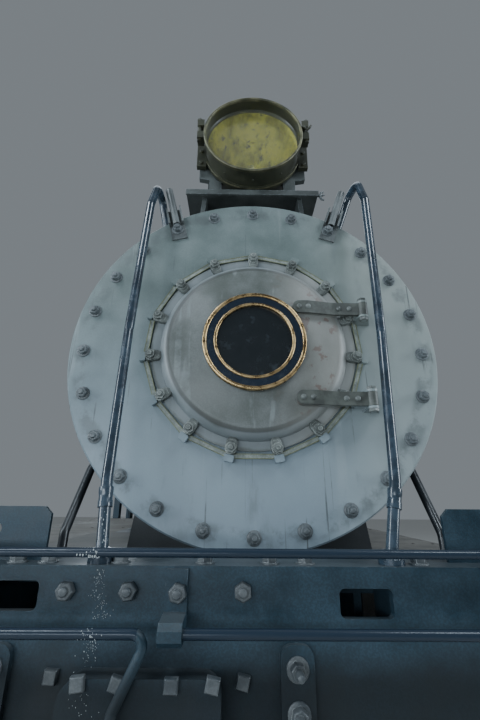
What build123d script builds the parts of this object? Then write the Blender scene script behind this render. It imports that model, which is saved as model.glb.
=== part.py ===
from build123d import *
import math
import os

# Geared steam locomotive with two driven trucks, three upright cylinders and an offset boiler.
# Millimetres. Front faces -Y, +Z is up, x = 0 is the track centre, z = 0 the wheel flange tips.

os.makedirs("parts", exist_ok=True)

# Clearances
seat_gap = 0.3          # between curved faces that seat on each other
running_gap = 0.3       # radial, in journals, pins and slides
moving_gap = 7          # between parts that pass each other

# Wheels and axles
tread_radius = 457
flange_depth = 25
flange_width = 32
wheel_back = 680        # half the distance between the wheel backs
wheel_width = 135
rim_inner_radius = 330
hub_radius = 140
hub_proud = 10
web_thickness = 55
axle_radius = 80
journal_radius = 70
journal_length = 118
flange_radius = tread_radius + flange_depth
axle_z = flange_radius
wheel_face = wheel_back + wheel_width

# Bevel gears on the outer faces of the -X wheels
gear_module = 18
ring_teeth = 41
pinion_teeth = 20
tooth_face = 110
tooth_rise = 0.8 * gear_module
tooth_depth = 1.1 * gear_module
tooth_share = 0.42      # tooth thickness over pitch, the rest is the gap
flank_angle = 20
ring_radius = gear_module * ring_teeth / 2
pinion_radius = gear_module * pinion_teeth / 2
cone_length = math.hypot(ring_radius, pinion_radius)
toe_share = (cone_length - tooth_face) / cone_length
shaft_x = -1060
shaft_radius = 60

# Trucks
front_truck_y = -3400
rear_truck_y = 3300
wheelbase = 1420
box_half_width = 130
box_half_height = 150
bar_offset = 235        # arch bars above and below the axle
bar_thickness = 36
right_bar = (-1060, -945)
left_bar = (850, 950)
bolster_half_width = 170
bolster_top = 900
bolster_depth = 210
spring_radius = 62
spring_x = 900
center_plate_radius = 180
center_plate_rise = 50
center_pin_radius = 45
front_joint_offset = 920
rear_joint_offset = -1200

# Frame
beam_face = 5270
beam_depth = 160
beam_half_length = 1350
beam_top = 1480
beam_height = 400
beam_web = 24           # front plate of the built-up beam
beam_flange = 22
beam_hole = (135, 66)   # rounded holes through the web, width and height
beam_hole_corner = 14
sill_x = 560
sill_bottom = 1035
sill_top = 1415
sill_width = 150
sill_web = 22
sill_flange = 26

# Couplers
lever_z = 1352          # cut levers, in brackets on the beam
lever_reach = 70
lever_radius = 12
lever_end = 1240
coupler_z = 901
coupler_reach = 330
knuckle_pin_radius = 20

# Boiler
boiler_x = 270
boiler_z = 2175
smokebox_front = -4990
front_plate_radius = 711
front_plate_thickness = 20
smokebox_radius = 680
smokebox_wall = 14
smokebox_back = -3650
barrel_radius = 640
barrel_back = -700
firebox_radius = 720
firebox_back = 1000
firebox_bottom = 1416
lagging_band = 8

# Smokebox door
door_rise = 14          # door centre above the plate centre
door_radius = 392
door_opening_radius = 372
door_flange = 14
door_shoulder_radius = 358
door_dish = 92
door_wall = 12
clamp_count = 15
clamp_bolt_radius = 403
clamp_inner = 352
clamp_outer = 411
clamp_width = 38
clamp_thickness = 20
heel_outer = 437
heel_width = 34
ring_bar_inner = 398    # across the flats of the many-sided bar round the door
ring_bar_width = 18
ring_bar_thickness = 10
hinge_x = 418
hinge_reach = 70
hinge_pin_radius = 10
hinge_barrel_radius = 19

# Stack
stack_y = -4330
stack_radius = 205
stack_bore = 175
stack_top = 3640

# Headlight
lamp_z = 3209
lamp_radius = 225
lamp_front = -5090
lamp_hood = 95
lamp_length = 330
lamp_wall = 8
lamp_shelf_z = 2980
lamp_glass_depth = 60
lamp_drum_radius = 215
lamp_shelf_width = 610

# Engine
engine_y = -350
cylinder_pitch = 600
crank_radius = 180
crank_angles = (90, 210, 330)
journal_main_radius = 75
crankpin_radius = 68
rod_length = 1100
cylinder_bottom = 2000
cylinder_length = 560
cylinder_radius = 215
bed_thickness = 40
guide_offset = 98
guide_thickness = 30
front_crank_joint = -1350
rear_crank_joint = 650

# Cab and tank
cab_front = 760
cab_back = 2450
cab_half_width = 1420
cab_floor_z = 1470
cab_eaves = 3080
cab_wall = 40
roof_rise = 330
roof_half_width = 1500
roof_overhang = 160
roof_thickness = 30
tank_front = 2500
tank_back = 5110
tank_half_width = 1330
tank_top = 2560
bunker_back = 3900
bunker_top = 2900
plate_wall = 30


def slab(x, y, z, mode=Mode.ADD):
    # A block between two values on each axis
    with Locations((sum(x) / 2, sum(y) / 2, sum(z) / 2)):
        Box(abs(x[1] - x[0]), abs(y[1] - y[0]), abs(z[1] - z[0]), mode=mode)


def bar(start, end, radius, mode=Mode.ADD):
    # A round bar between two points
    run = Vector(*end) - Vector(*start)
    with BuildSketch(Plane(origin=start, z_dir=run)) as section:
        Circle(radius)
    extrude(section.sketch, amount=run.length, mode=mode)


def pipe(points, bend, radius):
    # A round tube along straight runs joined by arcs
    with BuildLine() as path:
        FilletPolyline(*points, radius=bend)
    first_run = Vector(*points[1]) - Vector(*points[0])
    with BuildSketch(Plane(origin=points[0], z_dir=first_run)) as section:
        Circle(radius)
    sweep(section.sketch, path=path.line)


def upright(x, y, z):
    # Turning plane: radius, then height
    return Plane(origin=(x, y, z), x_dir=(1, 0, 0), z_dir=(0, -1, 0))


def lengthwise(x, y, z):
    # Turning plane: radius, then distance along +Y
    return Plane(origin=(x, y, z), x_dir=(1, 0, 0), z_dir=(0, 0, 1))


def crosswise(x, y, z):
    # Turning plane: radius, then distance along +X
    return Plane(origin=(x, y, z), x_dir=(0, 1, 0), z_dir=(0, 0, -1))


def turned(plane, profile, mode=Mode.ADD):
    # A solid of revolution about the plane's second axis
    with BuildSketch(plane) as section:
        with BuildLine() as outline:
            Polyline(*profile, close=True)
        make_face(outline.line)
    revolve(section.sketch, axis=Axis(plane.origin, plane.y_dir), mode=mode)


def plate(plane, outline, thickness, mode=Mode.ADD):
    # A flat plate of the given outline, thickened along the plane's normal
    with BuildSketch(plane) as section:
        with BuildLine() as edge:
            Polyline(*outline, close=True)
        make_face(edge.line)
    extrude(section.sketch, amount=thickness, mode=mode)


def rounded_block(x, y, z, corner):
    # A block with rounded upright corners
    with BuildSketch(Plane.XY.offset(z[0])) as section:
        with Locations((sum(x) / 2, sum(y) / 2)):
            RectangleRounded(abs(x[1] - x[0]), abs(y[1] - y[0]), corner)
    extrude(section.sketch, amount=z[1] - z[0])


def side_plane(x):
    # Outlines in (y, z), growing along +X
    return Plane.YZ.offset(x)


def end_plane(y):
    # Outlines in (x, z), growing along +Y
    return Plane(origin=(0, y, 0), x_dir=(-1, 0, 0), z_dir=(0, 1, 0))


def gear_tooth(apex, axis, radial, own_radius, other_radius):
    # One straight bevel tooth: all its faces run through the apex of the pitch cone
    pitch_line = (radial * own_radius + axis * other_radius).normalized()
    outward = (radial * other_radius - axis * own_radius).normalized()
    across = outward.cross(pitch_line)
    half = tooth_share * math.pi * gear_module / 2
    slope = math.tan(math.radians(flank_angle))
    root = tooth_depth + gear_module / 4
    with BuildPart() as tooth:
        for share in (1, toe_share):
            place = Plane(origin=apex + pitch_line * cone_length * share, x_dir=across, z_dir=pitch_line)
            with BuildSketch(place):
                with BuildLine():
                    Polyline(
                        (share * (-half - root * slope), -share * root),
                        (share * (half + root * slope), -share * root),
                        (share * (half - tooth_rise * slope), share * tooth_rise),
                        (share * (-half + tooth_rise * slope), share * tooth_rise),
                        close=True,
                    )
                make_face()
        loft(ruled=True)
    return tooth.part


def root_point(own_radius, other_radius, share):
    # Radius and distance from the apex of the root cone, at the heel (share 1) or the toe
    sink = tooth_depth * share
    radius = own_radius * share - sink * other_radius / cone_length
    distance = other_radius * share + sink * own_radius / cone_length
    return radius, distance


def gear_body(apex, axis, radial, teeth, own_radius, other_radius, sections):
    # Teeth on a many-sided cone, whose corners lie under the middles of the teeth
    # sections: radius of the flats, and distance from the apex, from the back to the toe
    tooth = gear_tooth(apex, axis, radial, own_radius, other_radius)
    turn = 2 * math.pi / teeth
    with BuildPart() as body:
        for flats, distance in sections:
            corner = flats / math.cos(turn / 2)
            with BuildSketch(Plane(origin=apex + axis * distance, x_dir=radial, z_dir=axis)):
                angles = [turn * step for step in range(teeth)]
                corners = [(corner * math.cos(angle), corner * math.sin(angle)) for angle in angles]
                Polygon(*corners, align=None)
        loft(ruled=True)
        add([tooth.rotate(Axis(apex, axis), 360 * step / teeth) for step in range(teeth)])
    return body.part


# Wheelsets: one solid each, turned about the axle, with the bevel ring on the -X wheel
def wheel_profile():
    # Radius and distance from the track centre, from the back of the wheel outwards
    web_back = wheel_back + (wheel_width - web_thickness) / 2
    return [
        (axle_radius, wheel_back - hub_proud),
        (hub_radius, wheel_back - hub_proud),
        (hub_radius, web_back),
        (rim_inner_radius, web_back),
        (rim_inner_radius, wheel_back),
        (flange_radius - 8, wheel_back),
        (flange_radius, wheel_back + 10),
        (flange_radius, wheel_back + 18),
        (tread_radius + 4, wheel_back + flange_width),
        (tread_radius - 4, wheel_face),
        (rim_inner_radius, wheel_face),
        (rim_inner_radius, web_back + web_thickness),
        (hub_radius, web_back + web_thickness),
        (hub_radius, wheel_face + hub_proud),
        (journal_radius, wheel_face + hub_proud),
    ]


journal_end = wheel_face + hub_proud + journal_length
wheel_heel = root_point(ring_radius, pinion_radius, 1)
wheel_toe = root_point(ring_radius, pinion_radius, toe_share)
ring_bore = wheel_toe[0] - 12
half_profile = wheel_profile() + [(journal_radius, journal_end), (0, journal_end)]
far_half = [(radius, -distance) for radius, distance in reversed(half_profile)]
ring_apex = Vector(shaft_x, 0, axle_z)
ring_teeth_body = gear_body(
    ring_apex,
    Vector(1, 0, 0),
    Vector(0, -1, 0).rotate(Axis.X, 180 / ring_teeth),
    ring_teeth,
    ring_radius,
    pinion_radius,
    (
        (wheel_heel[0] + gear_module / 2, -wheel_face + hub_proud - shaft_x),
        wheel_heel,
        wheel_toe,
    ),
)
with BuildPart() as wheel_pair:
    turned(crosswise(0, 0, axle_z), far_half + half_profile)
    add(ring_teeth_body)
    turned(
        crosswise(0, 0, axle_z),
        [
            (hub_radius, hub_proud - wheel_face),
            (ring_bore, hub_proud - wheel_face),
            (ring_bore, shaft_x),
            (journal_radius, shaft_x),
            (journal_radius, -hub_proud - wheel_face),
            (hub_radius, -hub_proud - wheel_face),
        ],
        mode=Mode.SUBTRACT,
    )

axle_places = []
for truck_y in (front_truck_y, rear_truck_y):
    for half_base in (-wheelbase / 2, wheelbase / 2):
        axle_places.append(truck_y + half_base)
for number, axle_y in enumerate(axle_places, start=1):
    with BuildPart() as wheelset:
        with Locations((0, axle_y, 0)):
            add(wheel_pair.part)
    wheelset.part.label = f"wheelset_{number}"
    export_step(wheelset.part, f"parts/wheelset_{number}.step")

# Pinion shafts: two bevel pinions, and a grooved ring at the end towards the engine
joint_flange_radius = 112
joint_neck_radius = 78
groove_half_width = 42
groove_flange = 18
shaft_stub = 85
collar_radius = 84
pinion_heel = root_point(pinion_radius, ring_radius, 1)
pinion_toe = root_point(pinion_radius, ring_radius, toe_share)

truck_table = (
    # name, truck centre, engine joint along the truck, side of that joint
    ("front", front_truck_y, front_joint_offset, 1),
    ("rear", rear_truck_y, rear_joint_offset, -1),
)
for end, truck_y, joint_offset, side in truck_table:
    joint_y = truck_y + joint_offset
    pinion_end = -wheelbase / 2 - ring_radius - 60
    far_end = truck_y + (pinion_end if side > 0 else wheelbase / 2 + shaft_stub + 20)
    near_end = joint_y + side * (groove_half_width + groove_flange)
    with BuildPart() as pinion_shaft:
        bar((shaft_x, far_end, axle_z), (shaft_x, near_end, axle_z), shaft_radius)
        for edge in (-1, 1):
            face = joint_y + edge * groove_half_width
            bar(
                (shaft_x, face, axle_z),
                (shaft_x, face + edge * groove_flange, axle_z),
                joint_flange_radius,
            )
        bar(
            (shaft_x, joint_y - groove_half_width, axle_z),
            (shaft_x, joint_y + groove_half_width, axle_z),
            joint_neck_radius,
        )
        for half_base in (-wheelbase / 2, wheelbase / 2):
            axle_y = truck_y + half_base
            pinion = gear_body(
                Vector(shaft_x, axle_y, axle_z),
                Vector(0, -1, 0),
                Vector(1, 0, 0),
                pinion_teeth,
                pinion_radius,
                ring_radius,
                (
                    (collar_radius + 12, pinion_heel[1] + 26),
                    (pinion_heel[0] - 14, pinion_heel[1] + 18),
                    pinion_heel,
                    pinion_toe,
                    (pinion_toe[0] - 12, pinion_toe[1] - 12),
                ),
            )
            add(pinion)
    pinion_shaft.part.label = f"pinion_shaft_{end}"
    export_step(pinion_shaft.part, f"parts/pinion_shaft_{end}.step")

# Truck frames: arch bars, journal boxes, shaft bearings, bolster and springs
bearing_half_width = 80
bearing_radius = 92
column_x = (-990, -945)


def truck_side(truck_y, bar_x, box_x, column):
    # Upper and lower arch bars with the boxes between them
    reach = wheelbase / 2 + box_half_width + 10
    box_edge = wheelbase / 2 - box_half_width - 10
    upper = axle_z + bar_offset
    lower = axle_z - bar_offset
    half = bar_thickness / 2
    crown = bolster_top - bar_thickness
    plate(
        side_plane(bar_x[0]),
        [
            (truck_y - reach, upper - half),
            (truck_y - box_edge, upper - half),
            (truck_y - bolster_half_width, crown),
            (truck_y + bolster_half_width, crown),
            (truck_y + box_edge, upper - half),
            (truck_y + reach, upper - half),
            (truck_y + reach, upper + half),
            (truck_y + box_edge, upper + half),
            (truck_y + bolster_half_width, bolster_top),
            (truck_y - bolster_half_width, bolster_top),
            (truck_y - box_edge, upper + half),
            (truck_y - reach, upper + half),
        ],
        bar_x[1] - bar_x[0],
    )
    slab(bar_x, (truck_y - reach, truck_y + reach), (lower - half, lower + half))
    for half_base in (-wheelbase / 2, wheelbase / 2):
        axle_y = truck_y + half_base
        slab(
            box_x,
            (axle_y - box_half_width, axle_y + box_half_width),
            (axle_z - box_half_height, axle_z + box_half_height),
        )
        slab(
            column,
            (axle_y - box_half_width, axle_y + box_half_width),
            (lower, upper),
        )
    for edge in (-1, 1):
        post = truck_y + edge * (bolster_half_width - 25)
        slab(column, (post - 25, post + 25), (lower, crown + half))


box_inner = wheel_face + hub_proud + moving_gap
for end, truck_y, joint_offset, side in truck_table:
    bolster_bottom = bolster_top - bolster_depth
    lower = axle_z - bar_offset
    with BuildPart() as truck:
        truck_side(truck_y, right_bar, (column_x[0], -box_inner), column_x)
        truck_side(truck_y, left_bar, (box_inner, journal_end + 25), left_bar)
        slab(
            (right_bar[0], left_bar[1]),
            (truck_y - bolster_half_width, truck_y + bolster_half_width),
            (bolster_bottom, bolster_top),
        )
        bar((0, truck_y, bolster_top), (0, truck_y, bolster_top + center_plate_rise), center_plate_radius)
        for half_base in (-wheelbase / 2, wheelbase / 2):
            axle_y = truck_y + half_base
            slab(
                (shaft_x, column_x[0] + 5),
                (axle_y - bearing_half_width, axle_y + bearing_half_width),
                (axle_z - bearing_radius, axle_z + bearing_radius),
            )
            bar(
                (shaft_x, axle_y - bearing_half_width, axle_z),
                (shaft_x, axle_y + bearing_half_width, axle_z),
                bearing_radius,
            )
        for spring_side in (-1, 1):
            plank = sorted((spring_side * (spring_x - 90), spring_side * (spring_x + 70)))
            slab(
                plank,
                (truck_y - bolster_half_width, truck_y + bolster_half_width),
                (lower - bar_thickness / 2, lower + bar_thickness / 2),
            )
            for edge in (-1, 1):
                spring_y = truck_y + edge * bolster_half_width / 2
                coil_bottom = lower + bar_thickness / 2 - 2
                coil_count = 7
                coil_step = (bolster_bottom + 4 - coil_bottom) / coil_count
                profile = [(0, coil_bottom)]
                for turn in range(coil_count):
                    base = coil_bottom + turn * coil_step
                    profile.append((spring_radius - 14, base))
                    profile.append((spring_radius, base + coil_step / 2))
                profile.append((spring_radius - 14, bolster_bottom + 4))
                profile.append((0, bolster_bottom + 4))
                turned(upright(spring_side * spring_x, spring_y, 0), profile)
        for half_base in (-wheelbase / 2, wheelbase / 2):
            axle_y = truck_y + half_base
            bore_end = journal_end + 5
            bar(
                (-bore_end, axle_y, axle_z),
                (bore_end, axle_y, axle_z),
                journal_radius + running_gap,
                mode=Mode.SUBTRACT,
            )
            bar(
                (shaft_x, axle_y - bearing_half_width, axle_z),
                (shaft_x, axle_y + bearing_half_width, axle_z),
                shaft_radius + running_gap,
                mode=Mode.SUBTRACT,
            )
        bar(
            (0, truck_y, bolster_bottom),
            (0, truck_y, bolster_top + 60),
            center_pin_radius + running_gap,
            mode=Mode.SUBTRACT,
        )
    truck.part.label = f"{end}_truck"
    export_step(truck.part, f"parts/{end}_truck.step")

# Telescopic shafts between crank and trucks: a sleeve swinging at the crank, a slip shaft at the truck
fork_pin_radius = 24
fork_reach = 112
fork_arm = 34
sleeve_radius = 82
slip_radius = 50
sleeve_start = 95
sleeve_mouth_share = 0.52
trunnion_radius = 20
yoke_outer = 168
yoke_inner = 134
yoke_half_width = 40

crank_joints = {"front": front_crank_joint, "rear": rear_crank_joint}
for end, truck_y, joint_offset, side in truck_table:
    crank_joint = crank_joints[end]
    truck_joint = truck_y + joint_offset
    away = -side
    span = abs(truck_joint - crank_joint)
    mouth = crank_joint + away * span * sleeve_mouth_share
    closed = crank_joint + away * sleeve_start
    with BuildPart() as sleeve:
        bar((shaft_x, closed, axle_z), (shaft_x, mouth, axle_z), sleeve_radius)
        bar((shaft_x, closed, axle_z), (shaft_x, closed - away * 20, axle_z), fork_reach)
        for up in (-1, 1):
            arm = sorted((axle_z + up * (fork_reach - fork_arm), axle_z + up * fork_reach))
            slab(
                (shaft_x - 45, shaft_x + 45),
                sorted((crank_joint, closed - away * 10)),
                arm,
            )
            bar((shaft_x, crank_joint, arm[0]), (shaft_x, crank_joint, arm[1]), 45)
            bar(
                (shaft_x, crank_joint, arm[0]),
                (shaft_x, crank_joint, arm[1]),
                fork_pin_radius + running_gap,
                mode=Mode.SUBTRACT,
            )
        bar(
            (shaft_x, closed + away * 10, axle_z),
            (shaft_x, mouth, axle_z),
            slip_radius + running_gap,
            mode=Mode.SUBTRACT,
        )
    sleeve.part.label = f"sleeve_{end}"
    export_step(sleeve.part, f"parts/sleeve_{end}.step")

    slip_start = crank_joint + away * (sleeve_start + 115)
    yoke_base = truck_joint - away * 148
    with BuildPart() as slip_shaft:
        bar((shaft_x, slip_start, axle_z), (shaft_x, yoke_base, axle_z), slip_radius)
        slab(
            (shaft_x - yoke_half_width, shaft_x + yoke_half_width),
            sorted((yoke_base, yoke_base + away * 30)),
            (axle_z - yoke_outer, axle_z + yoke_outer),
        )
        for up in (-1, 1):
            arm = sorted((axle_z + up * yoke_inner, axle_z + up * yoke_outer))
            slab(
                (shaft_x - yoke_half_width, shaft_x + yoke_half_width),
                sorted((yoke_base + away * 25, truck_joint + away * yoke_half_width)),
                arm,
            )
            bar(
                (shaft_x, truck_joint, axle_z + up * (joint_neck_radius + 16)),
                (shaft_x, truck_joint, axle_z + up * (yoke_inner + 4)),
                trunnion_radius,
            )
    slip_shaft.part.label = f"slip_shaft_{end}"
    export_step(slip_shaft.part, f"parts/slip_shaft_{end}.step")

# Main frame: two rolled sills, body bolsters with centre plates and pins, and cross ties
frame_end = beam_face - beam_depth
tie_width = 60
body_plate_radius = 200
deck_back = -4700
deck_top = sill_top + 12
with BuildPart() as main_frame:
    slab((-sill_x - 75, sill_x + 75), (-frame_end, deck_back), (sill_top - 2, deck_top))
    for side in (-1, 1):
        x = side * sill_x
        slab((x - sill_web / 2, x + sill_web / 2), (-frame_end, frame_end), (sill_bottom, sill_top))
        slab(
            (x - sill_width / 2, x + sill_width / 2),
            (-frame_end, frame_end),
            (sill_bottom, sill_bottom + sill_flange),
        )
        slab(
            (x - sill_width / 2, x + sill_width / 2),
            (-frame_end, frame_end),
            (sill_top - sill_flange, sill_top),
        )
    for tie_y in (-4650, -2300, -1100, 200, 1500, 2300, 4300):
        slab(
            (-sill_x, sill_x),
            (tie_y - tie_width / 2, tie_y + tie_width / 2),
            (sill_bottom + 60, sill_top - 60),
        )
    for truck_y in (front_truck_y, rear_truck_y):
        slab((-sill_x, sill_x), (truck_y - 190, truck_y + 190), (sill_bottom, sill_top - 60))
        plate_top = bolster_top + center_plate_rise + seat_gap
        bar((0, truck_y, plate_top), (0, truck_y, sill_bottom + 5), body_plate_radius)
        bar((0, truck_y, plate_top + 5), (0, truck_y, bolster_top - bolster_depth + 10), center_pin_radius)
main_frame.part.label = "main_frame"
export_step(main_frame.part, "parts/main_frame.step")

# End beams built up as channels, with striker castings, holes, step hangers and cut levers
footboard_z = 330
striker_half_width = 180
striker_top = 1265
striker_bottom = 760
striker_depth = 62
shank_half_width = 70
shank_half_height = 68
hanger_half_width = 40
hanger_top = 1316
hanger_thickness = 16
gusset_top = 1618
gusset_offset = 80
hole_table = (
    # middle of each hole in the beam's web: x on the front beam, z
    (538, 1398),
    (-350, 1412),
)
gusset_table = (
    # plates standing on the front beam: inner end, outer end
    (-317, -1050),
    (801, 1300),
)
lever_brackets = ((35, 90), (-1195, -1160), (1160, 1195))
rail_end = 1250
for end, side in (("front", -1), ("rear", 1)):
    face = side * beam_face
    back = side * frame_end
    beam_bottom = beam_top - beam_height
    with BuildPart() as beam:
        slab((-beam_half_length, beam_half_length), (face - side * beam_web, face), (beam_bottom, beam_top))
        for flange_z in (beam_bottom, beam_top - beam_flange):
            slab((-beam_half_length, beam_half_length), (back, face), (flange_z, flange_z + beam_flange))
        for rib_x in (-beam_half_length, -sill_x - 70, sill_x + 48, beam_half_length - beam_flange):
            slab((rib_x, rib_x + beam_flange), (back, face), (beam_bottom, beam_top))
        for hole_x, hole_z in hole_table:
            with BuildSketch(end_plane(min(face, face - side * beam_web) - 1)) as hole_outline:
                with Locations((side * hole_x, hole_z)):
                    RectangleRounded(*beam_hole, beam_hole_corner)
            extrude(hole_outline.sketch, amount=beam_web + 2, mode=Mode.SUBTRACT)
        casting = face + side * striker_depth
        with BuildSketch(end_plane(min(face, casting))) as striker_outline:
            with Locations((0, (striker_top + striker_bottom) / 2)):
                RectangleRounded(2 * striker_half_width, striker_top - striker_bottom, 45)
        extrude(striker_outline.sketch, amount=striker_depth)
        slab(
            (-striker_half_width + 30, striker_half_width - 30),
            (face, back - side * 240),
            (striker_bottom, beam_bottom),
        )
        slab(
            (-shank_half_width - moving_gap, shank_half_width + moving_gap),
            (casting, back - side * 300),
            (coupler_z - shank_half_height, coupler_z + shank_half_height + moving_gap),
            mode=Mode.SUBTRACT,
        )
        for hand in (-1, 1):
            slab(
                (hand * 300, hand * 1180),
                (face - side * 60, face + side * 170),
                (footboard_z, footboard_z + 45),
            )
            for hanger_x in (hand * 357, hand * 1100):
                hanger_bottom = footboard_z + 15
                with BuildSketch(end_plane(min(face, face + side * hanger_thickness))) as hanger_outline:
                    with Locations((-hanger_x, (hanger_top + hanger_bottom) / 2)):
                        RectangleRounded(2 * hanger_half_width, hanger_top - hanger_bottom, 28)
                extrude(hanger_outline.sketch, amount=hanger_thickness)
                slab(
                    (hanger_x - 35, hanger_x + 35),
                    (face - side * 50, face + side * 160),
                    (footboard_z + 45, footboard_z + 60),
                )
        lever_y = face + side * lever_reach
        for low, high in lever_brackets:
            hook = [
                (face, beam_top - 6),
                (face + side * 12, beam_top - 6),
                (face + side * 12, lever_z + 30),
                (lever_y + side * 8, lever_z + 24),
                (lever_y + side * 20, lever_z + 10),
                (lever_y + side * 20, lever_z - 12),
                (lever_y + side * 8, lever_z - 24),
                (face, lever_z - 24),
            ]
            hook_x = min(-side * low, -side * high)
            plate(side_plane(hook_x), hook, high - low)
        for rod in (
            [
                (-60, lever_y + side * 60, 1075),
                (-52, lever_y + side * 8, 1211),
                (16, lever_y, lever_z),
                (-lever_end, lever_y, lever_z),
                (-lever_end, lever_y + side * 20, lever_z - 240),
            ],
            [
                (40, lever_y, lever_z),
                (lever_end, lever_y, lever_z),
                (lever_end, lever_y + side * 20, lever_z - 240),
            ],
        ):
            pipe([(-side * x, y, z) for x, y, z in rod], 26, lever_radius)
        rail_y = face + side * 45
        rail_z = beam_top + 35
        if end == "front":
            pipe(
                [
                    (-rail_end, rail_y, beam_top - 60),
                    (-rail_end, rail_y, rail_z),
                    (rail_end, rail_y, rail_z),
                    (rail_end, rail_y, beam_top - 60),
                ],
                60,
                11,
            )
            for hand in (-1, 1):
                foot_x = hand * rail_end
                slab((foot_x - 20, foot_x + 20), (face, rail_y), (beam_top - 90, beam_top - 50))
            for inner, outer in gusset_table:
                hand = math.copysign(1, outer)
                gusset = [
                    (-inner, beam_top - 5),
                    (-inner, gusset_top - 20),
                    (-inner - hand * 20, gusset_top),
                    (-outer + hand * 60, gusset_top),
                    (-outer, gusset_top - 60),
                    (-outer, beam_top - 5),
                ]
                plate(end_plane(face + gusset_offset), gusset, 12)
                bar(
                    (inner + hand * 150, face + gusset_offset - 5, gusset_top - 60),
                    (inner + hand * 150, face + gusset_offset + 17, gusset_top - 60),
                    17,
                    mode=Mode.SUBTRACT,
                )
    beam.part.label = f"{end}_beam"
    export_step(beam.part, f"parts/{end}_beam.step")

# Couplers: a shank and head casting, and a knuckle on a vertical pin
knuckle_pin_x = 72
knuckle_pin_back = 92
for end, side in (("front", -1), ("rear", 1)):
    face = side * beam_face
    tip = face + side * coupler_reach
    hand = -side
    pin_x = hand * knuckle_pin_x
    pin_y = tip - side * knuckle_pin_back
    shank_end = side * (frame_end - 230)

    def coupler_outline(points):
        # Outline points as (x towards the knuckle side, distance back from the pulling face)
        return [(hand * along, tip - side * back) for along, back in points]

    with BuildPart() as coupler:
        slab(
            (-shank_half_width, shank_half_width),
            sorted((shank_end, face + side * 110)),
            (coupler_z - shank_half_height, coupler_z + shank_half_height),
        )
        plate(
            Plane.XY.offset(coupler_z - 140),
            coupler_outline(
                [
                    (-150, 0), (-95, 0), (-60, 75), (0, 131), (135, 131),
                    (135, 190), (70, 245), (-70, 245), (-150, 150),
                ]
            ),
            280,
        )
        for low, high in ((-140, -100), (100, 140)):
            plate(
                Plane.XY.offset(coupler_z + low),
                coupler_outline([(0, 131), (0, 80), (30, 48), (114, 48), (135, 80), (135, 131)]),
                high - low,
            )
        bar((pin_x, pin_y, coupler_z - 140), (pin_x, pin_y, coupler_z + 160), knuckle_pin_radius)
    coupler.part.label = f"{end}_coupler"
    export_step(coupler.part, f"parts/{end}_coupler.step")

    with BuildPart() as knuckle:
        plate(
            Plane.XY.offset(coupler_z - 92),
            coupler_outline(
                [
                    (44, 100), (100, 100), (112, 70), (96, 40), (70, 6),
                    (-30, 0), (-38, 26), (-14, 52), (28, 62),
                ]
            ),
            184,
        )
        bar(
            (pin_x, pin_y, coupler_z - 92),
            (pin_x, pin_y, coupler_z + 92),
            knuckle_pin_radius + running_gap,
            mode=Mode.SUBTRACT,
        )
    knuckle.part.label = f"{end}_knuckle"
    export_step(knuckle.part, f"parts/{end}_knuckle.step")

# Smokebox: a rolled tube on a saddle, open to the door
plate_back = smokebox_front + front_plate_thickness
saddle_front = -4620
saddle_back = -3850
with BuildPart() as smokebox:
    with BuildSketch(Plane.XZ.offset(-plate_back)) as shell_ring:
        with Locations((boiler_x, boiler_z)):
            Circle(smokebox_radius)
            Circle(smokebox_radius - smokebox_wall, mode=Mode.SUBTRACT)
    extrude(shell_ring.sketch, amount=-(smokebox_back - plate_back))
    bar(
        (boiler_x, stack_y, boiler_z),
        (boiler_x, stack_y, boiler_z + smokebox_radius + 5),
        stack_bore,
        mode=Mode.SUBTRACT,
    )
smokebox.part.label = "smokebox"
export_step(smokebox.part, "parts/smokebox.step")

with BuildPart() as saddle:
    slab((-sill_x - 75, sill_x + 75), (saddle_front, saddle_back), (sill_top, sill_top + 30))
    plate(
        end_plane(saddle_front + 40),
        [
            (-boiler_x - 520, sill_top + 25),
            (-boiler_x + 520, sill_top + 25),
            (-boiler_x + 470, boiler_z - 400),
            (-boiler_x - 470, boiler_z - 400),
        ],
        saddle_back - saddle_front - 80,
    )
    bar(
        (boiler_x, saddle_front - 10, boiler_z),
        (boiler_x, saddle_back + 10, boiler_z),
        smokebox_radius + seat_gap,
        mode=Mode.SUBTRACT,
    )
saddle.part.label = "saddle"
export_step(saddle.part, "parts/saddle.step")

# Smokebox front plate with its door opening, hinge lugs and the heel blocks of the clamps
door_z = boiler_z + door_rise
hinge_pin_x = boiler_x + hinge_x
hinge_pin_y = smokebox_front - hinge_reach
hinge_table = (
    # strap centre height, height between the lugs of the hinge
    (boiler_z + 153, 52),
    (boiler_z - 199, 52),
)
strap_half_height = 25
lug_height = 8
pin_end = 13


def door_plane(step, lift):
    # Plane on the door's face whose second axis points outwards through one of the clamps
    angle = math.radians(360 * step / clamp_count)
    return Plane(
        origin=(boiler_x, smokebox_front - lift, door_z),
        x_dir=(math.cos(angle), 0, -math.sin(angle)),
        z_dir=(0, -1, 0),
    )


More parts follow.
